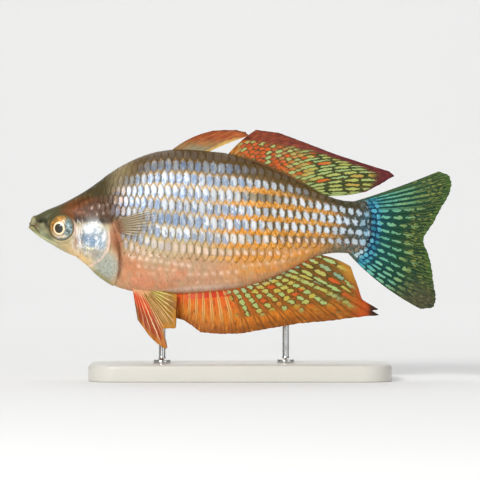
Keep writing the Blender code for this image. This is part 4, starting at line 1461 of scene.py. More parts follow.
        shape = np.column_stack([edge, spot["high"] * size, spot["wide"] * size, spot["blue"]])
        return {
            "ground": np.column_stack([ground, spread(luck[:, 0])]),
            "spot_mark": np.column_stack([spread(spot_colour), spread(spot_strength)]),
            "tip_mark": np.column_stack([spread(tip), spread(tip_strength) * (1 - top)]),
            "shape": spread(shape),
            "flat_mark": spread(calm * ease(FORM.height_share(x, z), 0.5, 0.4)),
        }

    def bake_map(self, x: Array, arc: Array, plate: Array, stride: int, table: ArcTable) -> Array:
        """The coat's map: each scale a small patch at its root's place on the unrolled side.

        Args:
            x: the scales' middles.
            arc: their distances from the back.
            plate: each point's place on its own scale.
            stride: points in a plate.
            table: distances over the skin.

        Returns:
            Places from 0 to 1, (n, 2).
        """
        root = np.column_stack([(x - 15.0) / 92.0, 0.08 + 0.84 * arc / table.length(x)])
        size = 0.003
        patch = (plate + (self.length / 2, 0.0)) * (size / self.length, size / (2 * self.half_height))
        return np.repeat(root, stride, axis=0) + patch


@dataclass(frozen=True)
class EyeFinish:
    """The eye: a dark pupil in a cream ring, and an iris that is gold in front and silver behind."""

    pupil: tuple[float, float] = PUPIL

    def make(self) -> bpy.types.Material:
        """Builds the material.

        Returns:
            The material.
        """
        bench = Bench("eye", coat_roughness=0.03, coat_weight=0.22, coat_ior=1.45, specular_ior_level=0.25)
        mix, ramp = bench.mix, bench.ramp
        u, v = bench.flat("Iris")
        place = bench.place()
        wobble = bench.noise(place, 1800.0, 2.0) - 0.5
        to_pupil_u, to_pupil_v = u - self.pupil[0], v - self.pupil[1]
        from_pupil = bench.maths("SQRT", to_pupil_u**2 + (to_pupil_v * 0.9) ** 2)
        from_middle = bench.maths("SQRT", u**2 + v**2)
        angle = bench.maths("ARCTAN2", to_pupil_v, to_pupil_u)
        rays = bench.noise(bench.join(angle * 9, from_pupil * 1.2), 1.0, 4.0, 0.6)
        blots = bench.noise(place, 950.0, 3.0, 0.55)
        behind = ramp(u * 0.9 - v * 0.55 + wobble * 1.2, -0.7, 1.0)
        colour = mix(behind, seen(190, 132, 52), seen(150, 176, 182))
        blot_colour = mix(behind, seen(112, 78, 40), seen(52, 74, 74))
        colour = mix(ramp(blots, 0.48, 0.60) * 0.85, colour, blot_colour)
        # Painted highlights: white flecks on the silver rear of the iris.
        colour = mix(ramp(blots, 0.46, 0.34) * behind * 0.85, colour, seen(226, 244, 250))
        colour = mix(ramp(rays, 0.45, 0.75) * 0.35, colour, seen(236, 206, 140))
        front_low = ramp(v + wobble * 1.5, -0.5, -2.0) * (1 - behind) * 0.75
        colour = mix(front_low, colour, seen(204, 180, 146))
        back_high = ramp(v + wobble * 2, 0.5, 1.8) * behind * 0.7
        colour = mix(back_high, colour, seen(70, 80, 70))
        low = ramp(v + wobble, -1.9, -2.6) * ramp(from_middle, 3.3, 2.9)
        colour = mix(low * 0.8, colour, seen(240, 214, 176))
        rim = ramp(from_middle + wobble * 0.3, 3.15, 3.6)
        rim_colour = mix(behind, seen(112, 102, 66), seen(120, 112, 90))
        colour = mix(rim, colour, rim_colour)
        # Painted shadow: a thin brown ring just outside the raised cream ring.
        colour = mix(ramp(abs(from_pupil - 2.0), 0.22, 0.0) * 0.6, colour, seen(104, 78, 48))
        ring = ramp(from_pupil + wobble * 0.12, 1.92, 1.74)
        ring_colour = mix(ramp(from_pupil, 1.3, 1.8), seen(252, 240, 196), seen(246, 214, 170))
        colour = mix(ring, colour, ring_colour)
        black = ramp(from_pupil + wobble * 0.08, 1.36, 1.22)
        pupil_colour = mix(ramp(to_pupil_u, -1.2, 1.0), seen(58, 46, 26), seen(62, 60, 58))
        colour = mix(black, colour, pupil_colour)
        shine = (1 - black) * ramp(from_middle, 3.4, 3.0)
        relief = rays * 0.4 + ring * 0.6 - black * 0.4 + blots * 0.3
        return bench.done(
            base_color=colour, metallic=shine * 0.25, roughness=0.4 - black * 0.1,
            normal=bench.bump(relief, 0.00008, 0.5),
        )


@dataclass(frozen=True)
class EyePiece:
    """One eyeball, a flattened ball with its axis along the cheek's outward direction.

    Attributes:
        side: the side that it is on.
        x, z: its middle.
        radius: half its width.
        depth: half its thickness.
        proud: how far it stands out of the head.
        rows: rings of points from its front to its back.
        columns: points in a ring.
    """

    side: Side
    x: float = EYE[0]
    z: float = EYE[1]
    radius: float = 4.1
    depth: float = 1.7
    proud: float = 0.85
    rows: int = 56
    columns: int = 72

    def axes(self) -> tuple[Array, Array, Array, Array]:
        """The middle of the ball, and its directions out, back along the fish, and up.

        Returns:
            The four vectors.
        """
        around = np.array([(0, 0), (1, 0), (-1, 0), (0, 1), (0, -1)], float)
        here, ahead, behind, above, below = FORM.side_y(self.x + around[:, 0], self.z + around[:, 1])
        out = np.array([(behind - ahead) / 2, self.side.value, (below - above) / 2])
        out /= np.linalg.norm(out)
        back = np.array([1.0, 0, 0]) - out * out[0]
        back /= np.linalg.norm(back)
        up = np.cross(out, back) * (-self.side.value)
        if up[2] < 0:
            up = -up
        middle = np.array([self.x, self.side.value * here, self.z]) + out * (self.proud - self.depth)
        return middle, out, back, up

    def shell(self) -> Shell:
        """The ball: radius * sin(p) across and depth * cos(p) out, with a low dome over the pupil.

        Returns:
            The closed ball, with a map of places on the iris.
        """
        middle, out, back, up = self.axes()
        p = np.linspace(0, math.pi, self.rows + 2)[1:-1, None]
        q = np.linspace(0, 2 * math.pi, self.columns, endpoint=False)[None, :]
        u, v = self.radius * np.sin(p) * np.cos(q), self.radius * np.sin(p) * np.sin(q)
        from_pupil = np.hypot(u - PUPIL[0], v - PUPIL[1])
        dome = 0.16 * ease(from_pupil, 1.9, 0.6) * (p < math.pi / 2)
        w = self.depth * np.cos(p) + dome + 0 * u
        rings = middle + u[..., None] * back + v[..., None] * up + w[..., None] * out
        top, low = middle + out * (self.depth + 0.15), middle - out * self.depth
        iris = np.vstack([np.stack([u.ravel(), v.ravel()], 1), np.zeros((2, 2))])
        return Shell(*tube(rings, top, low), maps={"Iris": iris})


def on_table(table: Table, place: Array, column: int) -> Array:
    """A value at places from 0 to 1, on straight lines between a table's rows."""
    rows = np.array(table)
    return np.interp(place, rows[:, 0], rows[:, column])


@dataclass(frozen=True)
class FinWeb:
    """A fin: a thin web with its rays raised on both faces, each ray forked towards its tip.

    Attributes:
        name: the node that it replaces.
        rays: how many rays.
        tips: tips of the rays as (share of the rays from the first, x, z).
        root: gives x and z of the rays' roots, in the skin.
        bow: how far a ray's middle stands off the straight line, as a share of its length.
        sway: y of the web's middle from x, z, place and share.
        fork: how far the two branches stand apart at the tip, in ray spacings. Spines have none.
        notch: how much shorter the web is than its rays.
        web: half the web's thickness at the root.
        ray: how far a ray stands out of it there.
        fleshy: how much thicker the fin is where it leaves the body.
        rounded: whether the fin's edge is a smooth line through the tips.
        normal: the direction of its thickness.
        across: points from one ray to the next.
        along: points from root to tip.
    """

    name: str
    rays: int
    tips: Table
    root: Callable[[Array], tuple[Array, Array]]
    bow: Callable[[Array], Array]
    sway: Callable[[Array, Array, Array, Array], Array]
    fork: float = 0.18
    notch: float = 0.008
    web: float = 0.11
    ray: float = 0.15
    fleshy: Callable[[Array], Array] = lambda place: 0.35
    rounded: bool = False
    normal: tuple[float, float, float] = (0.0, 1.0, 0.0)
    across: int = 12
    along: int = 46

    def tip(self, place: Array, column: int) -> Array:
        """x or z of the rays' tips: on a smooth line if the fin is rounded, or else on straight lines.

        Args:
            place: places from 0 to 1 over the rays.
            column: 1 for x, 2 for z.

        Returns:
            The values there.
        """
        if self.rounded:
            return Curve(tuple((row[0], row[column]) for row in self.tips))(place)
        return on_table(self.tips, place, column)

    def shell(self) -> Shell:
        """The web as a slab.

        Ray number place * (rays - 1) runs from its root to its tip as a parabola: root + t * run + 4 * bow *
        length * t * (1 - t) across. Half the thickness is the web's plus the ray's times a bell round each
        branch, thinner to the tip and thicker at the root.

        Returns:
            The closed web, with a map "Ray" of ray number and millimetres from the root, and the share
            "reach".
        """
        columns = (self.rays - 1) * self.across + 1
        place = np.linspace(0, 1, columns)[:, None]
        share = np.linspace(0, 1, self.along)[None, :] ** 1.05
        number = place * (self.rays - 1)
        off = np.abs(number - np.round(number))
        fork = self.fork * ease(share, 0.38, 0.9)
        ridge = bell(off - fork, 0.085 + 0.02 * share)
        root_x, root_z = self.root(place)
        run = self.tip(place, 1) - root_x
        rise = self.tip(place, 2) - root_z
        length = np.hypot(run, rise)
        tip_ridge = bell(off - self.fork, 0.16)
        reach = share * (1 - self.notch * (1 - tip_ridge) * share**3)
        arch = self.bow(place) * 4 * reach * (1 - reach)
        x, z = root_x + run * reach - rise * arch, root_z + rise * reach + run * arch
        y = self.sway(x, z, place + 0 * share, share + 0 * place)
        middle = np.stack([x, y, z], -1)
        half = self.web * (1 - 0.45 * share**2) + self.ray * ridge * (1 - 0.72 * share)
        half = half + self.fleshy(place) * np.maximum(0, 1 - share / 0.1) ** 2
        out = np.array(self.normal) / np.linalg.norm(self.normal)
        points, quads = slab(middle - half[..., None] * out, middle + half[..., None] * out)
        flat = np.stack([number + 0 * share, length * reach], -1).reshape(-1, 2)
        spread = np.hypot(np.gradient(x, axis=0), np.gradient(z, axis=0)) * self.across
        angle = np.arctan2(rise, run)
        spread = spread * np.abs(np.sin(np.arctan2(np.gradient(z, axis=0), np.gradient(x, axis=0)) - angle))
        marks = {"reach": np.broadcast_to(share, x.shape).ravel(), "spread": spread.ravel()}
        return Shell(
            points, quads, marks={label: np.tile(mark, 2) for label, mark in marks.items()},
            maps={"Ray": np.tile(flat, (2, 1))},
        )


DORSAL_FRONT_TIPS: Table = (
    (0.0, 52.0, 27.7), (0.2, 55.2, 28.6), (0.4, 58.6, 28.8), (0.6, 62.2, 28.8), (0.8, 65.0, 28.2),
    (1.0, 66.2, 27.1),
)
DORSAL_REAR_TIPS: Table = (
    (0.0, 68.1, 28.9), (0.15, 75.0, 28.0), (0.31, 83.0, 25.0), (0.46, 92.0, 21.5), (0.61, 101.5, 18.4),
    (0.72, 108.3, 16.3), (0.78, 109.6, 15.0), (0.86, 105.2, 12.4), (0.93, 101.2, 10.3), (1.0, 96.6, 9.4),
)
ANAL_TIPS: Table = (
    (0.0, 43.7, -27.6), (0.06, 46.2, -28.2), (0.12, 48.8, -29.9), (0.18, 51.4, -31.9), (0.27, 57.0, -32.4),
    (0.36, 63.5, -32.3), (0.45, 72.0, -30.8), (0.55, 81.0, -29.3), (0.65, 90.5, -28.5), (0.71, 97.0, -27.6),
    (0.762, 105.2, -26.8), (0.81, 101.8, -25.9), (0.857, 104.9, -25.0), (0.905, 100.2, -22.9),
    (0.952, 98.6, -18.0), (1.0, 96.4, -12.1),
)
TAIL_TIPS: Table = (
    (0.0, 122.8, 16.4), (0.0625, 125.8, 15.2), (0.125, 126.7, 12.7), (0.1875, 126.2, 10.0),
    (0.3125, 123.2, 4.5), (0.375, 121.6, 1.3), (0.5, 118.4, -4.7), (0.5625, 119.6, -7.8),
    (0.625, 120.5, -10.9), (0.75, 121.4, -17.4), (0.875, 121.9, -22.4), (0.9375, 121.0, -24.4),
    (1.0, 117.4, -24.9),
)
PECTORAL_TIPS: Table = (
    (0.0, 40.2, 5.6), (0.2, 40.5, 4.3), (0.4, 39.9, 2.6), (0.6, 38.6, 0.6), (0.8, 36.4, -1.6),
    (1.0, 33.2, -3.4),
)
PELVIC_TIPS: Table = (
    (0.0, 32.6, -28.0), (0.2, 36.2, -32.9), (0.3, 38.7, -35.3), (0.4, 41.4, -36.9), (0.6, 40.3, -30.7),
    (0.8, 44.0, -30.6), (1.0, 44.4, -20.4),
)


@dataclass(frozen=True)
class Fins:
    """The plans of all the fins, and where each grows.

    Attributes:
        sunk: how deep the roots lie in the body.
        dorsal_front, dorsal_rear, anal, pelvic: first and last x of the roots.
        pelvic_y: the pelvic roots' distance from the middle plane.
        pelvic_splay: how far the pelvic fins lean out, for each millimetre down.
        pectoral: x and z of the first and the last pectoral root.
    """

    sunk: float = 0.5
    dorsal_front: tuple[float, float] = (42.3, 53.4)
    dorsal_rear: tuple[float, float] = (59.4, 88.2)
    anal: tuple[float, float] = (44.0, 86.5)
    pelvic: tuple[float, float] = (31.0, 35.6)
    pelvic_y: float = 1.9
    pelvic_splay: float = 0.25
    pectoral: tuple[float, float, float, float] = (26.0, 1.4, 27.2, -1.7)

    def on_line(
        self, line: Curve, ends: tuple[float, float], lift: float
    ) -> Callable[[Array], tuple[Array, Array]]:
        """Roots along the line of the back or the belly.

        Args:
            line: that line.
            ends: first and last x.
            lift: their height over the line.

        Returns:
            A function from the place, 0 to 1, to the root's x and z.
        """

        def root(place: Array) -> tuple[Array, Array]:
            """x and z of the root at a place."""
            x = ends[0] + (ends[1] - ends[0]) * place
            return x, line(x) + lift

        return root

    def median(self) -> tuple[FinWeb, ...]:
        """The dorsal fins, the anal fin and the tail fin.

        Returns:
            Their webs, in this order.
        """

        def tail_root(place: Array) -> tuple[Array, Array]:
            """Roots round the end of the tail stalk."""
            x = FORM.root(place)
            return x - 0.9, FORM.point(x, place)[..., 2]

        front = self.on_line(FORM.back, self.dorsal_front, -self.sunk)
        rear = self.on_line(FORM.back, self.dorsal_rear, -self.sunk)
        below = self.on_line(FORM.belly, self.anal, self.sunk)
        return (
            FinWeb(
                "dorsal_fin_front", 6, DORSAL_FRONT_TIPS, front,
                bow=lambda place: 0.05 - 0.03 * place, fork=0.0, notch=0.015, across=22,
                sway=lambda x, z, place, share: -1.7 * share**1.3,
            ),
            FinWeb(
                "dorsal_fin_rear", 14, DORSAL_REAR_TIPS, rear, across=14, along=60,
                bow=lambda place: 0.04 + 0.05 * np.sin(math.pi * np.minimum(place / 0.85, 1))
                - 0.4 * np.maximum(0, place - 0.85),
                sway=lambda x, z, place, share: 0.9 * share**1.5 * np.sin(2.2 * math.pi * place + 0.4),
            ),
            FinWeb(
                "anal_fin", 22, ANAL_TIPS, below, along=54,
                bow=lambda place: 0.02 + 0.03 * place**2 - 0.04 * np.exp(-(((place - 0.84) / 0.06) ** 2)),
                sway=lambda x, z, place, share: 1.1 * share**1.5 * np.sin(2.6 * math.pi * place + 2.4),
            ),
            FinWeb(
                "tail_fin", 17, TAIL_TIPS, tail_root, across=14, along=64, rounded=True,
                fleshy=lambda place: 0.4 + 0.95 * np.sin(math.pi * place),
                bow=lambda place: -0.012 - 0.033 * place,
                sway=lambda x, z, place, share: 1.7 * share**1.6 * np.sin(1.7 * math.pi * place - 0.9),
            ),
        )

    def paired(self, side: Side) -> tuple[FinWeb, FinWeb]:
        """The pectoral and the pelvic fin of one side.

        Args:
            side: the side that they grow on.

        Returns:
            Their webs.
        """
        x0, z0, x1, z1 = self.pectoral

        def pectoral_root(place: Array) -> tuple[Array, Array]:
            """Roots on a short line behind the gill cover."""
            return x0 - 0.4 + (x1 - x0) * place, z0 + (z1 - z0) * place

        def along_flank(x: Array, z: Array, place: Array, share: Array) -> Array:
            """y a little outside the flank, and further out towards the tips."""
            off = 1.2 * ease(share, 0.0, 0.12) - 0.3 + 1.1 * share**1.5
            return side.value * (FORM.side_y(x, z) + off)

        def pelvic_root(place: Array) -> tuple[Array, Array]:
            """Roots in the belly beside the middle plane."""
            x = self.pelvic[0] + (self.pelvic[1] - self.pelvic[0]) * place
            return x, FORM.under_z(x, np.array(self.pelvic_y)) + self.sunk

        def splayed(x: Array, z: Array, place: Array, share: Array) -> Array:
            """y further out with every millimetre down."""
            return side.value * (self.pelvic_y + self.pelvic_splay * np.maximum(0, -20.0 - z) + 0.3 * share)

        return (
            FinWeb(
                f"pectoral_fin_{side.word}", 10, PECTORAL_TIPS, pectoral_root,
                bow=lambda place: 0.03 - 0.06 * place, sway=along_flank, web=0.05, ray=0.11, across=10,
                fleshy=lambda place: 0.25,
            ),
            FinWeb(
                f"pelvic_fin_{side.word}", 6, PELVIC_TIPS, pelvic_root, across=22,
                bow=lambda place: 0.02 * place, sway=splayed,
                normal=(0.0, 1.0, side.value * self.pelvic_splay),
            ),
        )


class FinBench(Bench):
    """A fin's node tree, with its own measures: ray number, millimetres from the root, and reach."""

    def __init__(self, name: str, **constants: Any) -> None:
        """Starts a fin's material.

        Args:
            name: the material's name.
            constants: values for sockets of its shader.
        """
        super().__init__(name, coat_roughness=0.2, coat_weight=0.04, specular_ior_level=0.2, **constants)
        self.number, self.along = self.flat("Ray")
        self.reach = self.mark("reach", "Fac")
        self.spread = self.mark("spread", "Fac")
        self.x, self.z = self.side_view()
        self.here = self.place()
        warp = self.split(self.noise(self.here, 1100.0, 3.0, 0.55, 1))
        self.ragged, self.warp_along, self.warp_over = ((part - 0.5) for part in warp)
        self.grain = self.noise(self.here, 1800.0, 3.0, 0.6)
        self.wobble = self.noise(self.here, 900.0, 2.0) - 0.5
        self.off = abs(self.maths("FRACT", self.number + 0.5) - 0.5)

    def rays(self, fork: float, width: float = 0.09) -> Flow:
        """1 on a ray or a branch of it, 0 on the web."""
        apart = self.ramp(self.reach, 0.38, 0.9) * fork
        return self.ramp(abs(self.off - apart), width, width * 0.35)

    def cells(
        self, length: float, half_wide: float, gap: float = 0.22, doubled: bool = False, offset: float = 3.0
    ) -> dict[str, Flow]:
        """Rounded cells of colour between the rays, in line with them.

        Along the ray, s = millimetres / length + a shift for each web; a cell is |fract(s) - 1/2| within
        its share of the length. Across, it is half_wide millimetres to each side of the web's middle.
        Both join as (a^2.5 + b^2.5)^(1 / 2.5), which is 1 on the cell's edge.

        Args:
            length: from one cell to the next, in millimetres.
            half_wide: half a cell's width, in millimetres.
            gap: share of the length between two cells.
            doubled: whether there are two lines of cells on a web.
            offset: what sets one pattern of shifts apart from another.

        Returns:
            "cell", 1 inside; "rim", 1 on and round it; "luck", a chance number of each; "even", 1 on every
            second.
        """
        bend = self.warp_over * (0.9 if doubled else 0.6)
        number = self.number * 2 if doubled else self.number
        spread = self.spread * 0.5 if doubled else self.spread
        web = self.maths("FLOOR", number)
        shift = self.chance(web, offset)
        step = self.along / length + shift * 0.9 + self.warp_along * (1.5 / length)
        cell = self.maths("FLOOR", step)
        luck = self.chance(web, cell, offset)
        along = abs(self.maths("FRACT", step) - 0.5) * (2.0 / (1.0 - gap)) * (0.9 + luck * 0.25)
        middle = abs(self.maths("FRACT", number) - 0.5 + bend)
        over = middle * spread / (half_wide * (0.8 + 0.4 * luck))
        edge = (along**2.5 + over**2.5) ** 0.4 + self.ragged * min(0.9, 1.8 / length)
        even = self.maths("FRACT", cell * 0.5 + web * 0.5) * 2
        return {
            "cell": self.ramp(edge, 1.06, 0.84), "rim": self.ramp(edge, 1.62, 1.12), "luck": luck,
            "even": self.ramp(even, 0.4, 0.6),
        }

    def either(
        self, share: Flow, first: dict[str, Flow], second: dict[str, Flow]
    ) -> tuple[Flow, Flow, Flow]:
        """Cell, rim and luck of two patterns of cells, going from the first to the second by a share."""
        both = (self.join(one["cell"], one["rim"], one["luck"]) for one in (first, second))
        return self.split(self.mix(share, *both))

    def streaks(self, across: float, along: float, seed: float = 0.0) -> Flow:
        """Noise drawn out along the rays: across is how many to a web, along how many to a millimetre."""
        bend = self.wobble * 0.5
        return self.noise(self.join(self.number * across + bend, self.along * along, seed), 1.0, 3.0, 0.55)

    def finish(self, colour: Flow, rays: Flow, **more: Any) -> bpy.types.Material:
        """Adds what all fins share: jointed, slightly rough rays, grain, and a soft gloss.

        Args:
            colour: the fin's colour.
            rays: 1 on a ray, 0 on the web.
            more: links for more of the shader's sockets.

        Returns:
            The finished material.
        """
        joints = self.ramp(abs(self.maths("FRACT", self.along * 1.7) - 0.5), 0.42, 0.5) * rays
        colour = self.mix(self.ramp(self.grain, 0.35, 0.8) * 0.12, colour, seen(40, 34, 22))
        relief = rays * 0.7 - joints * 0.5 + self.grain * 0.35
        rough = self.ramp(self.grain, 0.2, 0.8, 0.34, 0.52)
        return self.done(base_color=colour, roughness=rough, normal=self.bump(relief, 0.00008, 0.6), **more)


@dataclass(frozen=True)
class TailFinish:
    """The tail fin: blue cells at the root, then teal to olive green, with pale dashes between dark rays."""

    def make(self) -> bpy.types.Material:
        """Builds the material.

        Returns:
            The material.
        """
        bench = FinBench("tail")
        mix, ramp = bench.mix, bench.ramp
        reach = bench.reach + bench.wobble * 0.08
        colour = mix(ramp(reach, 0.22, 0.55), seen(4, 78, 84), seen(22, 76, 46))
        colour = mix(ramp(reach, 0.55, 0.90), colour, seen(50, 80, 38))
        colour = mix(ramp(reach, 0.90, 1.0), colour, seen(76, 108, 42))
        fine = bench.streaks(5.0, 0.55)
        colour = mix(ramp(fine, 0.50, 0.36) * 0.6, colour, seen(4, 46, 44))
        low_tip = ramp(bench.z, -13.0, -22.5) * ramp(reach, 0.42, 0.85)
        top = ramp(bench.number + bench.wobble, 1.7, 0.5)
        colour = mix(top * 0.85, colour, seen(62, 92, 48))
        branch = bench.number * 3.4 + (bench.streaks(1.1, 0.20, 4.0) - 0.5) * 3.0 + bench.warp_over * 1.2
        vein = ramp(abs(bench.maths("FRACT", branch) - 0.5), 0.34, 0.16)
        far = ramp(reach, 0.58, 0.78)
        colour = mix((1 - vein) * far * ramp(fine, 0.36, 0.56) * 0.6, colour, seen(112, 128, 62))
        colour = mix(vein * far * ramp(reach, 1.0, 0.9, 0.4, 1.0) * 0.85, colour, seen(22, 48, 26))
        rays = bench.rays(0.2)
        dark_ray = mix(ramp(reach, 0.2, 0.7), seen(2, 46, 56), seen(18, 44, 26))
        colour = mix(rays * ramp(reach, 0.95, 0.5, 0.3, 0.8), colour, dark_ray)
        dash = bench.cells(3.7, 0.40, 0.16)
        upper = ramp(bench.number, 4.8, 3.6)
        near = ramp(reach, 0.92, 0.72)
        colour = mix(dash["rim"] * near * (1 - upper) * 0.7, colour, seen(6, 50, 46))
        pale = mix(ramp(reach + bench.wobble * 0.2, 0.10, 0.32), seen(58, 176, 200), seen(110, 186, 156))
        pale = mix(ramp(reach + dash["luck"] * 0.2, 0.42, 0.80) * 0.9, pale, seen(144, 168, 92))
        doubled = abs(bench.maths("FRACT", bench.number * 1.3 + bench.wobble * 0.25) - 0.5)
        stripe = ramp(doubled, 0.30, 0.18) * upper * ramp(bench.number, 0.5, 1.0)
        stripe = stripe * ramp(fine + bench.ragged * 0.6, 0.34, 0.54, 0.25, 1.0)
        stripe = stripe * ramp(reach, 0.85, 0.45, 0.35, 1.0)
        colour = mix(ramp(doubled, 0.30, 0.40) * upper * near * 0.75, colour, seen(8, 58, 50))
        shown = bench.most(dash["cell"] * (1 - upper), stripe)
        outer = ramp(reach + dash["luck"] * 0.24, 1.0, 0.74)
        shown = shown * outer * ramp(bench.along, 2.6, 5.2) * (1 - low_tip * 0.7)
        colour = mix(shown * (0.72 + dash["luck"] * 0.25), colour, pale)
        small = bench.cells(1.9, 0.20, 0.24, doubled=True, offset=5.0)
        beyond = ramp(reach, 0.60, 0.72) * ramp(reach, 0.98, 0.88)
        colour = mix(
            small["cell"] * beyond * ramp(small["luck"], 0.3, 0.5) * 0.55, colour, seen(156, 158, 76)
        )
        tip_colour = mix(ramp(fine, 0.4, 0.6), seen(44, 44, 34), seen(86, 80, 56))
        colour = mix(low_tip * 0.8, colour, tip_colour)
        drop = bench.cells(1.8, 0.60, 0.18, offset=11.0)
        near_body = ramp(bench.along + bench.wobble * 2.0, 3.4, 1.2)
        blob = mix(drop["luck"], seen(18, 112, 140), seen(92, 184, 206))
        blob = mix(near_body * 0.85, blob, mix(drop["luck"], seen(112, 150, 160), seen(226, 240, 242)))
        scaly = mix(near_body, seen(8, 56, 84), seen(58, 74, 72))
        scaly = mix(drop["cell"] * 0.95, scaly, blob)
        edges = ramp(abs(bench.number - 8.2), 7.6, 5.8)
        root = ramp(bench.along + bench.wobble * 3.0, 6.6, 3.8) * edges
        colour = mix(root, colour, scaly)
        colour = mix(ramp(bench.along, 4.2, 1.0) * (1 - edges), colour, seen(80, 90, 66))
        return bench.finish(colour, rays)


@dataclass(frozen=True)
class RearDorsalFinish:
    """The second dorsal fin: maroon along its edge, with red and pale green cells below."""

    def make(self) -> bpy.types.Material:
        """Builds the material.

        Returns:
            The material.
        """
        bench = FinBench("dorsal_rear")
        mix, ramp = bench.mix, bench.ramp
        rear = ramp(bench.x + bench.wobble * 3, 74.0, 88.0)
        colour = mix(rear, seen(136, 80, 36), seen(70, 76, 34))
        fine = bench.streaks(4.0, 0.5)
        front = ramp(bench.x + bench.wobble * 3, 68.5, 61.5) * ramp(bench.reach, 0.75, 0.3)
        colour = mix(front * 0.9, colour, seen(208, 138, 52))
        colour = mix(ramp(fine, 0.55, 0.40) * 0.6, colour, seen(76, 50, 24))
        colour = mix(ramp(fine, 0.58, 0.72) * 0.6, colour, seen(214, 108, 40))
        rays = bench.rays(0.18)
        colour = mix(rays * 0.5, colour, mix(rear, seen(110, 62, 30), seen(46, 54, 26)))
        cell = bench.cells(1.9, 0.46, 0.16, doubled=True)
        long_cell = bench.cells(5.2, 0.34, 0.10, doubled=True, offset=8.0)
        inside, rim, luck = bench.either(rear, cell, long_cell)
        edge = ramp(bench.x, 66.0, 90.0, 0.56, 0.78) + ramp(bench.number, 9.4, 12.0, 0.0, 0.17)
        zone = ramp(bench.reach + bench.wobble * 0.12 + (luck - 0.5) * 0.14 - edge, 0.08, -0.04)
        zone = zone * ramp(bench.along, 0.8, 1.8) * ramp(bench.x + luck * 4, 62.5, 65.5)
        colour = mix(rim * zone * 0.7, colour, mix(rear, seen(88, 66, 28), seen(34, 58, 26)))
        red = bench.most(ramp(luck, 0.46, 0.50) * (1 - rear), cell["even"] * ramp(bench.x, 82.0, 72.0))
        red = bench.most(red, ramp(luck, 0.84, 0.88) * ramp(bench.x, 96.0, 86.0, 0.3, 1.0))
        pale = mix(luck, seen(158, 190, 124), seen(186, 186, 84))
        tint = mix(red, pale, mix(luck, seen(178, 62, 20), seen(214, 92, 28)))
        tint = mix(ramp(bench.streaks(7.0, 0.8, 2.0), 0.5, 0.7) * 0.5, tint, seen(206, 140, 58))
        colour = mix(inside * zone * 0.9, colour, tint)
        beyond = ramp(bench.reach + bench.wobble * 0.1 - edge, -0.08, 0.10)
        margin = mix(ramp(bench.x, 66.0, 98.0), seen(132, 60, 34), seen(94, 30, 38))
        margin = mix(ramp(fine, 0.5, 0.68) * 0.5, margin, seen(170, 80, 46))
        margin = mix(ramp(fine, 0.5, 0.34) * 0.5, margin, seen(78, 28, 28))
        margin = mix(ramp(bench.reach, 0.93, 1.0) * 0.5, margin, seen(64, 24, 26))
        colour = mix(beyond * ramp(bench.number, 12.9, 12.0), colour, margin)
        colour = mix(ramp(bench.along, 1.6, 0.3) * 0.8, colour, seen(96, 76, 42))
        return bench.finish(colour, rays)


@dataclass(frozen=True)
class FrontDorsalFinish:
    """The first dorsal fin: brown-orange, pale at its root and golden along its rear edge."""

    def make(self) -> bpy.types.Material:
        """Builds the material.

        Returns:
            The material.
        """
        bench = FinBench("dorsal_front")
        mix, ramp = bench.mix, bench.ramp
        fine = bench.streaks(4.0, 0.35)
        colour = mix(ramp(bench.z + bench.wobble, 24.0, 26.6), seen(150, 120, 74), seen(160, 78, 38))
        colour = mix(ramp(fine, 0.5, 0.68) * 0.6, colour, seen(206, 118, 60))
        colour = mix(ramp(fine, 0.48, 0.32) * 0.6, colour, seen(112, 56, 28))
        root = ramp(bench.along, 4.5, 1.0) * ramp(bench.number, 0.8, 2.4)
        colour = mix(root * 0.8, colour, seen(146, 146, 120))
        golden = ramp(bench.number + bench.wobble, 4.1, 4.8) * ramp(bench.along, 13.0, 8.0)
        colour = mix(golden, colour, seen(206, 168, 92))
        rays = bench.rays(0.0, 0.06)
        colour = mix(rays * 0.5, colour, seen(220, 146, 86))
        colour = mix(ramp(bench.reach, 0.88, 1.0) * 0.7, colour, seen(92, 52, 30))
        return bench.finish(colour, rays)


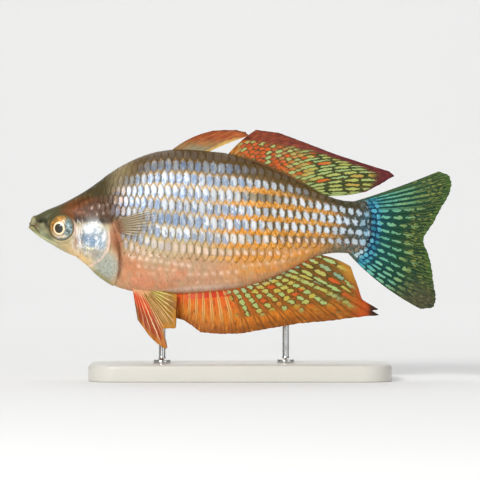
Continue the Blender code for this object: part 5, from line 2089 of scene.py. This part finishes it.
@dataclass(frozen=True)
class AnalFinish:
    """The anal fin: orange, with red blocks and pale rays in front and rows of pale green cells behind."""

    def make(self) -> bpy.types.Material:
        """Builds the material.

        Returns:
            The material.
        """
        bench = FinBench("anal")
        mix, ramp = bench.mix, bench.ramp
        reach = bench.reach + bench.wobble * 0.08
        fine = bench.streaks(4.0, 0.4)
        colour = mix(ramp(reach, 0.15, 0.7), seen(222, 96, 28), seen(204, 116, 26))
        colour = mix(ramp(reach, 0.70, 0.96), colour, seen(150, 82, 18))
        colour = mix(ramp(fine, 0.54, 0.68) * 0.5, colour, seen(234, 150, 58))
        colour = mix(ramp(fine, 0.46, 0.32) * 0.7, colour, seen(122, 60, 14))
        colour = mix(ramp(bench.number, 1.1, 0.0) * ramp(reach, 0.8, 0.1) * 0.8, colour, seen(216, 66, 24))
        front = ramp(bench.number + reach * 1.2, 8.4, 7.4)
        rays = bench.rays(0.18)
        rear = ramp(bench.number + bench.wobble, 14.2, 16.8)
        colour = mix(rays * 0.6, colour, mix(front, seen(96, 66, 20), seen(140, 74, 22)))
        pale_ray = ramp(abs(bench.off - 0.10), 0.12, 0.03) * front * ramp(reach, 0.9, 0.45)
        colour = mix(pale_ray * ramp(bench.number, 0.8, 1.6) * 0.75, colour, seen(228, 184, 108))
        web = abs(bench.maths("FRACT", bench.number) - 0.5)
        block = ramp(bench.most(web * 2.5, abs(bench.along - 1.5) / 0.95) + bench.ragged, 1.05, 0.85)
        red = mix(ramp(bench.number, 5.0, 2.6) * 0.5, seen(196, 52, 26), seen(226, 118, 84))
        colour = mix(block * front * ramp(bench.number, 1.2, 1.8) * 0.9, colour, red)
        cell = bench.cells(1.9, 0.76, 0.12)
        stripe = bench.cells(4.6, 0.52, 0.10, offset=9.0)
        inside, rim, luck = bench.either(rear, cell, stripe)
        zone = ramp(reach + (luck - 0.5) * 0.16, ramp(bench.number, 8.0, 18.0, 0.70, 0.96), 0.60)
        zone = zone * ramp(bench.number + luck * 1.0 + bench.wobble, 7.8, 8.6) * ramp(bench.along, 0.5, 1.0)
        green = mix(ramp(bench.number, 10.0, 17.0), seen(158, 92, 24), seen(84, 78, 24))
        colour = mix(zone * 0.85, colour, green)
        colour = mix(ramp(fine, 0.5, 0.7) * zone * 0.6, colour, seen(206, 92, 28))
        colour = mix(rim * zone * 0.7, colour, seen(58, 54, 18))
        pale = mix(ramp(luck, 0.1, 0.8), seen(168, 192, 118), seen(196, 178, 72))
        pale = mix(ramp(bench.along, 2.6, 1.4) * 0.6, pale, seen(168, 196, 158))
        pale = mix(rear * ramp(luck, 0.62, 0.72) * 0.8, pale, seen(116, 168, 148))
        tint = mix(ramp(luck, 0.86, 0.92), pale, seen(204, 92, 30))
        colour = mix(inside * zone * 0.95, colour, tint)
        tip = ramp(bench.x + bench.wobble * 4, 95.5, 101.0) * ramp(bench.z, -15.0, -20.0)
        colour = mix(tip * 0.7, colour, seen(194, 74, 24))
        colour = mix(ramp(bench.x, 100.8, 103.0) * 0.95, colour, seen(44, 28, 16))
        edge = ramp(bench.number, 19.4, 20.6) * ramp(reach, 0.4, 0.8)
        colour = mix(edge * 0.5, colour, seen(190, 146, 48))
        return bench.finish(colour, rays)


@dataclass(frozen=True)
class PelvicFinish:
    """The pelvic fins: red-orange in front, olive-yellow behind, with pale branched rays."""

    def make(self) -> bpy.types.Material:
        """Builds the material.

        Returns:
            The material.
        """
        bench = FinBench("pelvic")
        mix, ramp = bench.mix, bench.ramp
        reach = bench.reach + bench.wobble * 0.1
        behind = ramp(bench.number + bench.wobble, 1.9, 3.2)
        colour = mix(behind, seen(206, 66, 22), seen(150, 108, 26))
        colour = mix(ramp(bench.number, 4.0, 4.9) * ramp(reach, 0.75, 0.4), colour, seen(150, 144, 36))
        colour = mix(ramp(reach, 0.30, 0.62) * (1 - behind) * 0.9, colour, seen(150, 58, 14))
        colour = mix(
            ramp(reach, 0.35, 0.7) * behind * ramp(bench.number, 3.6, 2.8) * 0.7, colour, seen(146, 84, 40)
        )
        colour = mix(ramp(reach, 0.78, 1.0) * 0.8, colour, seen(192, 126, 30))
        fine = bench.streaks(3.4, 0.14)
        colour = mix(ramp(fine, 0.46, 0.30) * 0.7, colour, seen(104, 42, 12))
        colour = mix(ramp(fine, 0.54, 0.68) * 0.4, colour, seen(232, 160, 90))
        rays = bench.rays(0.2, 0.07)
        number = bench.number * 2 + bench.most(bench.number - 3.0, 0.0) * 3 + bench.wobble * 0.3
        line = ramp(abs(bench.maths("FRACT", number) - 0.5), 0.16, 0.04) * ramp(reach, 1.0, 0.6)
        pale = line * ramp(bench.number, 0.6, 2.0, 0.35, 1.0) * ramp(fine, 0.34, 0.5, 0.4, 1.0)
        colour = mix(pale, colour, seen(242, 202, 144))
        colour = mix(ramp(reach, 0.20, 0.03), colour, seen(228, 172, 124))
        edge = ramp(bench.number, 0.40, 0.1) * ramp(bench.along, 3.0, 6.0)
        colour = mix(edge * 0.7, colour, seen(120, 82, 34))
        return bench.finish(colour, rays)


@dataclass(frozen=True)
class PectoralFinish:
    """The pectoral fins: a clear web on pale yellow rays, reddish at the root."""

    def make(self) -> bpy.types.Material:
        """Builds the material.

        Returns:
            The material.
        """
        bench = FinBench("pectoral")
        mix, ramp = bench.mix, bench.ramp
        rays = bench.rays(0.06, 0.14)
        colour = mix(rays, seen(172, 156, 122), seen(112, 80, 48))
        pale = ramp(abs(bench.off - 0.38), 0.12, 0.03) * ramp(bench.reach, 0.15, 0.5)
        colour = mix(pale * 0.9, colour, seen(224, 208, 170))
        colour = mix(ramp(bench.along, 3.4, 0.8), colour, seen(158, 112, 82))
        solid = ramp(bench.along, 2.0, 0.4) * 0.85
        fade = ramp(bench.reach + bench.wobble * 0.3, 0.95, 0.35)
        upper = ramp(bench.number, 8.0, 2.0, 0.45, 1.0)
        web = ramp(bench.reach, 0.85, 0.25) * 0.5 + 0.06
        shown = bench.most(web + rays * 0.5 * fade * upper, pale * 0.6 * fade)
        clear = bench.most(shown, solid)
        return bench.finish(colour, rays, alpha=clear)


@dataclass(frozen=True)
class LacquerFinish:
    """Satin lacquer on the stand's base.

    Attributes:
        colour: its colour.
    """

    colour: Colour = seen(214, 211, 203)

    def make(self) -> bpy.types.Material:
        """Builds the material.

        Returns:
            The material.
        """
        bench = Bench("lacquer", coat_roughness=0.25, coat_weight=0.3)
        mix, ramp = bench.mix, bench.ramp
        place = bench.place()
        cloud, grain = bench.noise(place, 60.0, 3.0), bench.noise(place, 2400.0, 2.0)
        colour = mix(ramp(cloud, 0.3, 0.7) * 0.12, self.colour, seen(188, 184, 174))
        rough = ramp(cloud, 0.3, 0.7, 0.34, 0.44)
        return bench.done(base_color=colour, roughness=rough, normal=bench.bump(grain, 0.00002, 0.5))


@dataclass(frozen=True)
class SteelFinish:
    """Drawn stainless steel, with fine lines along the rod."""

    def make(self) -> bpy.types.Material:
        """Builds the material.

        Returns:
            The material.
        """
        bench = Bench("steel", metallic=1.0)
        mix, ramp = bench.mix, bench.ramp
        x, y, z = bench.split(bench.place())
        lines = bench.noise(bench.join(x * 9000, y * 9000, z * 300), 1.0, 2.0)
        colour = mix(lines, seen(196, 196, 194), seen(228, 228, 226))
        rough = ramp(lines, 0.2, 0.8, 0.18, 0.32)
        return bench.done(base_color=colour, roughness=rough, normal=bench.bump(lines, 0.00001, 0.4))


@dataclass(frozen=True)
class StandBase:
    """The flat base: a plate with round corners and softly broken edges.

    Attributes:
        length, breadth, height: its sizes.
        corner: radius of its corners, seen from above.
        edge: radius of its upper edge.
    """

    length: float = 90.0
    breadth: float = 44.0
    height: float = 5.0
    corner: float = 9.0
    edge: float = 0.9

    def shell(self) -> Shell:
        """A profile of (inset, height) carried round the outline, four arcs joined by straight sides.

        Returns:
            The closed base.
        """
        turn = np.linspace(0, 2 * math.pi, 128, endpoint=False) + math.pi / 128
        near_x = self.length / 2 - self.corner
        near_y = self.breadth / 2 - self.corner
        middle = np.stack([np.sign(np.cos(turn)) * near_x, np.sign(np.sin(turn)) * near_y], 1)
        round_part = np.stack([np.cos(turn), np.sin(turn)], 1)
        bend = np.linspace(0, math.pi / 2, 9)
        top = [(self.edge * (1 - math.cos(a)), self.height - self.edge * (1 - math.sin(a))) for a in bend]
        foot = [(0.5, 0.0), (0.15, 0.12), (0.0, 0.5)]
        inner = [(2.0, self.height), (6.0, self.height), (8.5, self.height)]
        profile = np.array([(8.5, 0.0), (4.0, 0.0), *foot, *top, *inner])
        rings = [
            np.column_stack([middle + round_part * (self.corner - inset), np.full(len(turn), level)])
            for inset, level in profile
        ]
        rings = np.array(rings) - (SNOUT_X, 0, AXIS_HEIGHT)
        return Shell(*tube(rings, rings[0].mean(0), rings[-1].mean(0)))


@dataclass(frozen=True)
class StandRod:
    """A rod from a foot disc on the base up to a shaped pad under the body.

    Attributes:
        name: the node that it replaces.
        x, y: where it stands.
        sides: points in a ring.
    """

    name: str
    x: float
    y: float
    sides: int = 48

    def shell(self) -> Shell:
        """Rings of a turned profile, the last ones following the underside of the body.

        Returns:
            The closed rod.
        """
        angle = np.linspace(0, 2 * math.pi, self.sides, endpoint=False)
        ring = np.stack([np.cos(angle), np.sin(angle)], 1)
        floor = StandBase.height - AXIS_HEIGHT
        foot = (
            (2.3, 0.0), (2.55, 0.08), (2.6, 0.25), (2.6, 0.75), (2.52, 0.95), (2.3, 1.08), (1.7, 1.15),
            (1.25, 1.3), (1.06, 1.6), (1.0, 2.0),
        )
        pad = ((1.0, 2.2), (1.02, 1.6), (1.15, 1.15), (1.36, 0.75), (1.4, 0.45), (1.32, 0.1), (1.1, -0.3))
        rings = [
            np.column_stack([(self.x, self.y) + ring * r, np.full(self.sides, floor + h)])
            for r, h in foot
        ]
        for radius, drop in pad:
            place = (self.x, self.y) + ring * radius
            under = FORM.under_z(place[:, 0], place[:, 1])
            rings.append(np.column_stack([place, under - drop]))
        rings = np.array(rings)
        return Shell(*tube(rings, rings[0].mean(0), rings[-1].mean(0)))


@dataclass(frozen=True)
class Studio:
    """A pale seamless floor, soft lamps and a camera that sees the fish as the photo does.

    Attributes:
        width: what the picture shows across, at the fish, in metres.
        level: height of the picture's middle.
        distance: from the camera to the fish.
        reach: how far the floor goes to the front, to the sides and up.
        behind: how far it lies flat behind the fish.
        bend: radius of its curve upwards.
    """

    width: float = 0.144
    level: float = 0.0419
    distance: float = 1.1
    reach: float = 3.0
    behind: float = 1.3
    bend: float = 0.7

    def floor(self) -> None:
        """A sheet that lies flat under the fish and curves up far behind it."""
        across = np.linspace(-self.reach, self.reach, 25)
        angle = np.linspace(0, math.pi / 2, 24)
        flat = [(y, 0.0) for y in np.linspace(-self.reach, self.behind, 20)]
        curve = [(self.behind + self.bend * math.sin(a), self.bend * (1 - math.cos(a))) for a in angle[1:]]
        wall = [(self.behind + self.bend, height) for height in np.linspace(self.bend, self.reach, 8)[1:]]
        profile = np.array(flat + curve + wall)
        grid = np.stack(np.broadcast_arrays(across[None, :], profile[:, :1], profile[:, 1:]), -1)
        bench = Bench("paper", roughness=0.9)
        tone = bench.noise(bench.place(), 3.0)
        paper = bench.done(base_color=bench.mix(tone * 0.15, seen(246, 246, 245), seen(238, 238, 237)))
        mesh = bpy.data.meshes.new("floor")
        mesh.from_pydata(grid.reshape(-1, 3).tolist(), [], grid_quads(*grid.shape[:2]).tolist())
        mesh.shade_smooth()
        mesh.materials.append(paper)
        obj = bpy.data.objects.new("floor", mesh)
        bpy.context.scene.collection.objects.link(obj)

    def lamp(
        self, name: str, place: Colour, size: float, power: float, tint: Colour,
        aim: Colour = (0.0, 0.0, 0.042),
    ) -> None:
        """Adds a soft square lamp.

        Args:
            name: its name.
            place: where it stands, in metres.
            size: its side.
            power: in watts.
            tint: its colour.
            aim: the point that it faces.
        """
        data = bpy.data.lights.new(name, "AREA")
        data.size, data.energy, data.color = size, power, tint
        obj = bpy.data.objects.new(name, data)
        away = np.array(place) - aim
        obj.location = place
        obj.rotation_euler = (math.acos(away[2] / np.linalg.norm(away)), 0, math.atan2(away[0], -away[1]))
        bpy.context.scene.collection.objects.link(obj)

    def build(self) -> None:
        """Sets the floor, the lamps, the surrounding light and the camera."""
        self.floor()
        self.lamp("key", (-0.5, -1.2, 0.60), 0.34, 14.2, (1.0, 0.985, 0.96))
        self.lamp("fill", (0.9, -1.0, 0.35), 0.8, 2.4, (0.94, 0.97, 1.0))
        self.lamp("top", (0.1, 0.0, 1.2), 0.9, 1.6, (1.0, 1.0, 1.0))
        self.lamp("sky", (0.0, 1.05, 1.15), 1.7, 11.5, (1.0, 1.0, 1.0), (0.0, 1.0, 0.0))
        world = bpy.data.worlds.new("studio")
        world.use_nodes = True
        surround = world.node_tree.nodes["Background"].inputs
        surround["Color"].default_value, surround["Strength"].default_value = (0.96, 0.98, 1.0, 1.0), 0.22
        scene = bpy.context.scene
        scene.world = world
        scene.view_settings.view_transform = "Standard"
        data = bpy.data.cameras.new("camera")
        data.sensor_width = 36.0
        data.lens = 36.0 * self.distance / self.width
        data.clip_start, data.clip_end = 0.01, 20.0
        camera = bpy.data.objects.new("camera", data)
        camera.location = (0.0, -self.distance, self.level)
        camera.rotation_euler = (math.pi / 2, 0, 0)
        scene.collection.objects.link(camera)
        scene.camera = camera


def add_piece(shell: Shell, name: str, slot: str, finish: bpy.types.Material, *nodes: str) -> None:
    """Makes a piece, sets it on the frame and reports it.

    Args:
        shell: its points and faces.
        name: its name.
        slot: the name of its finish's slot; not used.
        finish: its material.
        nodes: nodes of the model that it replaces.
    """
    obj = shell.piece(name, finish)
    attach(obj, "root")
    if nodes:
        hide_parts(*nodes)
    LOG.info("%s: %d faces", name, len(obj.data.polygons))


@dataclass
class Fish:
    """The whole fish: skin, scales, eyes and fins.

    Attributes:
        table: distances over the skin, for the scales.
    """

    table: ArcTable = field(default_factory=ArcTable)

    def build(self) -> None:
        """Makes every piece of the fish."""
        flesh = ("head", "lower_jaw", "gill_cover_left", "gill_cover_right", "trunk", "tail_stalk")
        add_piece(SkinPiece().shell(), "skin", "skin", SkinFinish().make(), *flesh)
        eye = EyeFinish().make()
        pelvic, pectoral = PelvicFinish().make(), PectoralFinish().make()
        scales = ScaleFinish().make()
        for side in Side:
            add_piece(ScaleCoat(side).shell(self.table), f"scales_{side.word}", "skin", scales)
            add_piece(EyePiece(side).shell(), f"eyeball_{side.word}", "eye", eye, f"eye_{side.word}")
            for web, slot, finish in zip(Fins().paired(side), ("pectoral", "pelvic"), (pectoral, pelvic)):
                add_piece(web.shell(), f"{web.name}_web", slot, finish, web.name)
        finishes = (FrontDorsalFinish(), RearDorsalFinish(), AnalFinish(), TailFinish())
        slots = ("dorsal_front", "dorsal_rear", "anal", "tail")
        for web, slot, finish in zip(Fins().median(), slots, finishes):
            add_piece(web.shell(), f"{web.name}_web", slot, finish.make(), web.name)


@dataclass
class Stand:
    """The display stand: a base and two rods.

    Attributes:
        rods: the rods.
    """

    rods: tuple[StandRod, ...] = (
        StandRod("stand_rod_front", 39.9, 0.0), StandRod("stand_rod_rear", 77.0, 3.3)
    )

    def build(self) -> None:
        """Makes the stand's pieces."""
        add_piece(StandBase().shell(), "base_plate", "lacquer", LacquerFinish().make(), "stand_base")
        steel = SteelFinish().make()
        for rod in self.rods:
            add_piece(rod.shell(), f"{rod.name}_turned", "steel", steel, rod.name)


def main() -> None:
    """Builds the fish, its stand and the studio."""
    logging.basicConfig(level=logging.INFO, format="%(name)s %(message)s")
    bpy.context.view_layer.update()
    Fish().build()
    Stand().build()
    Studio().build()


if __name__ == "__main__":
    main()
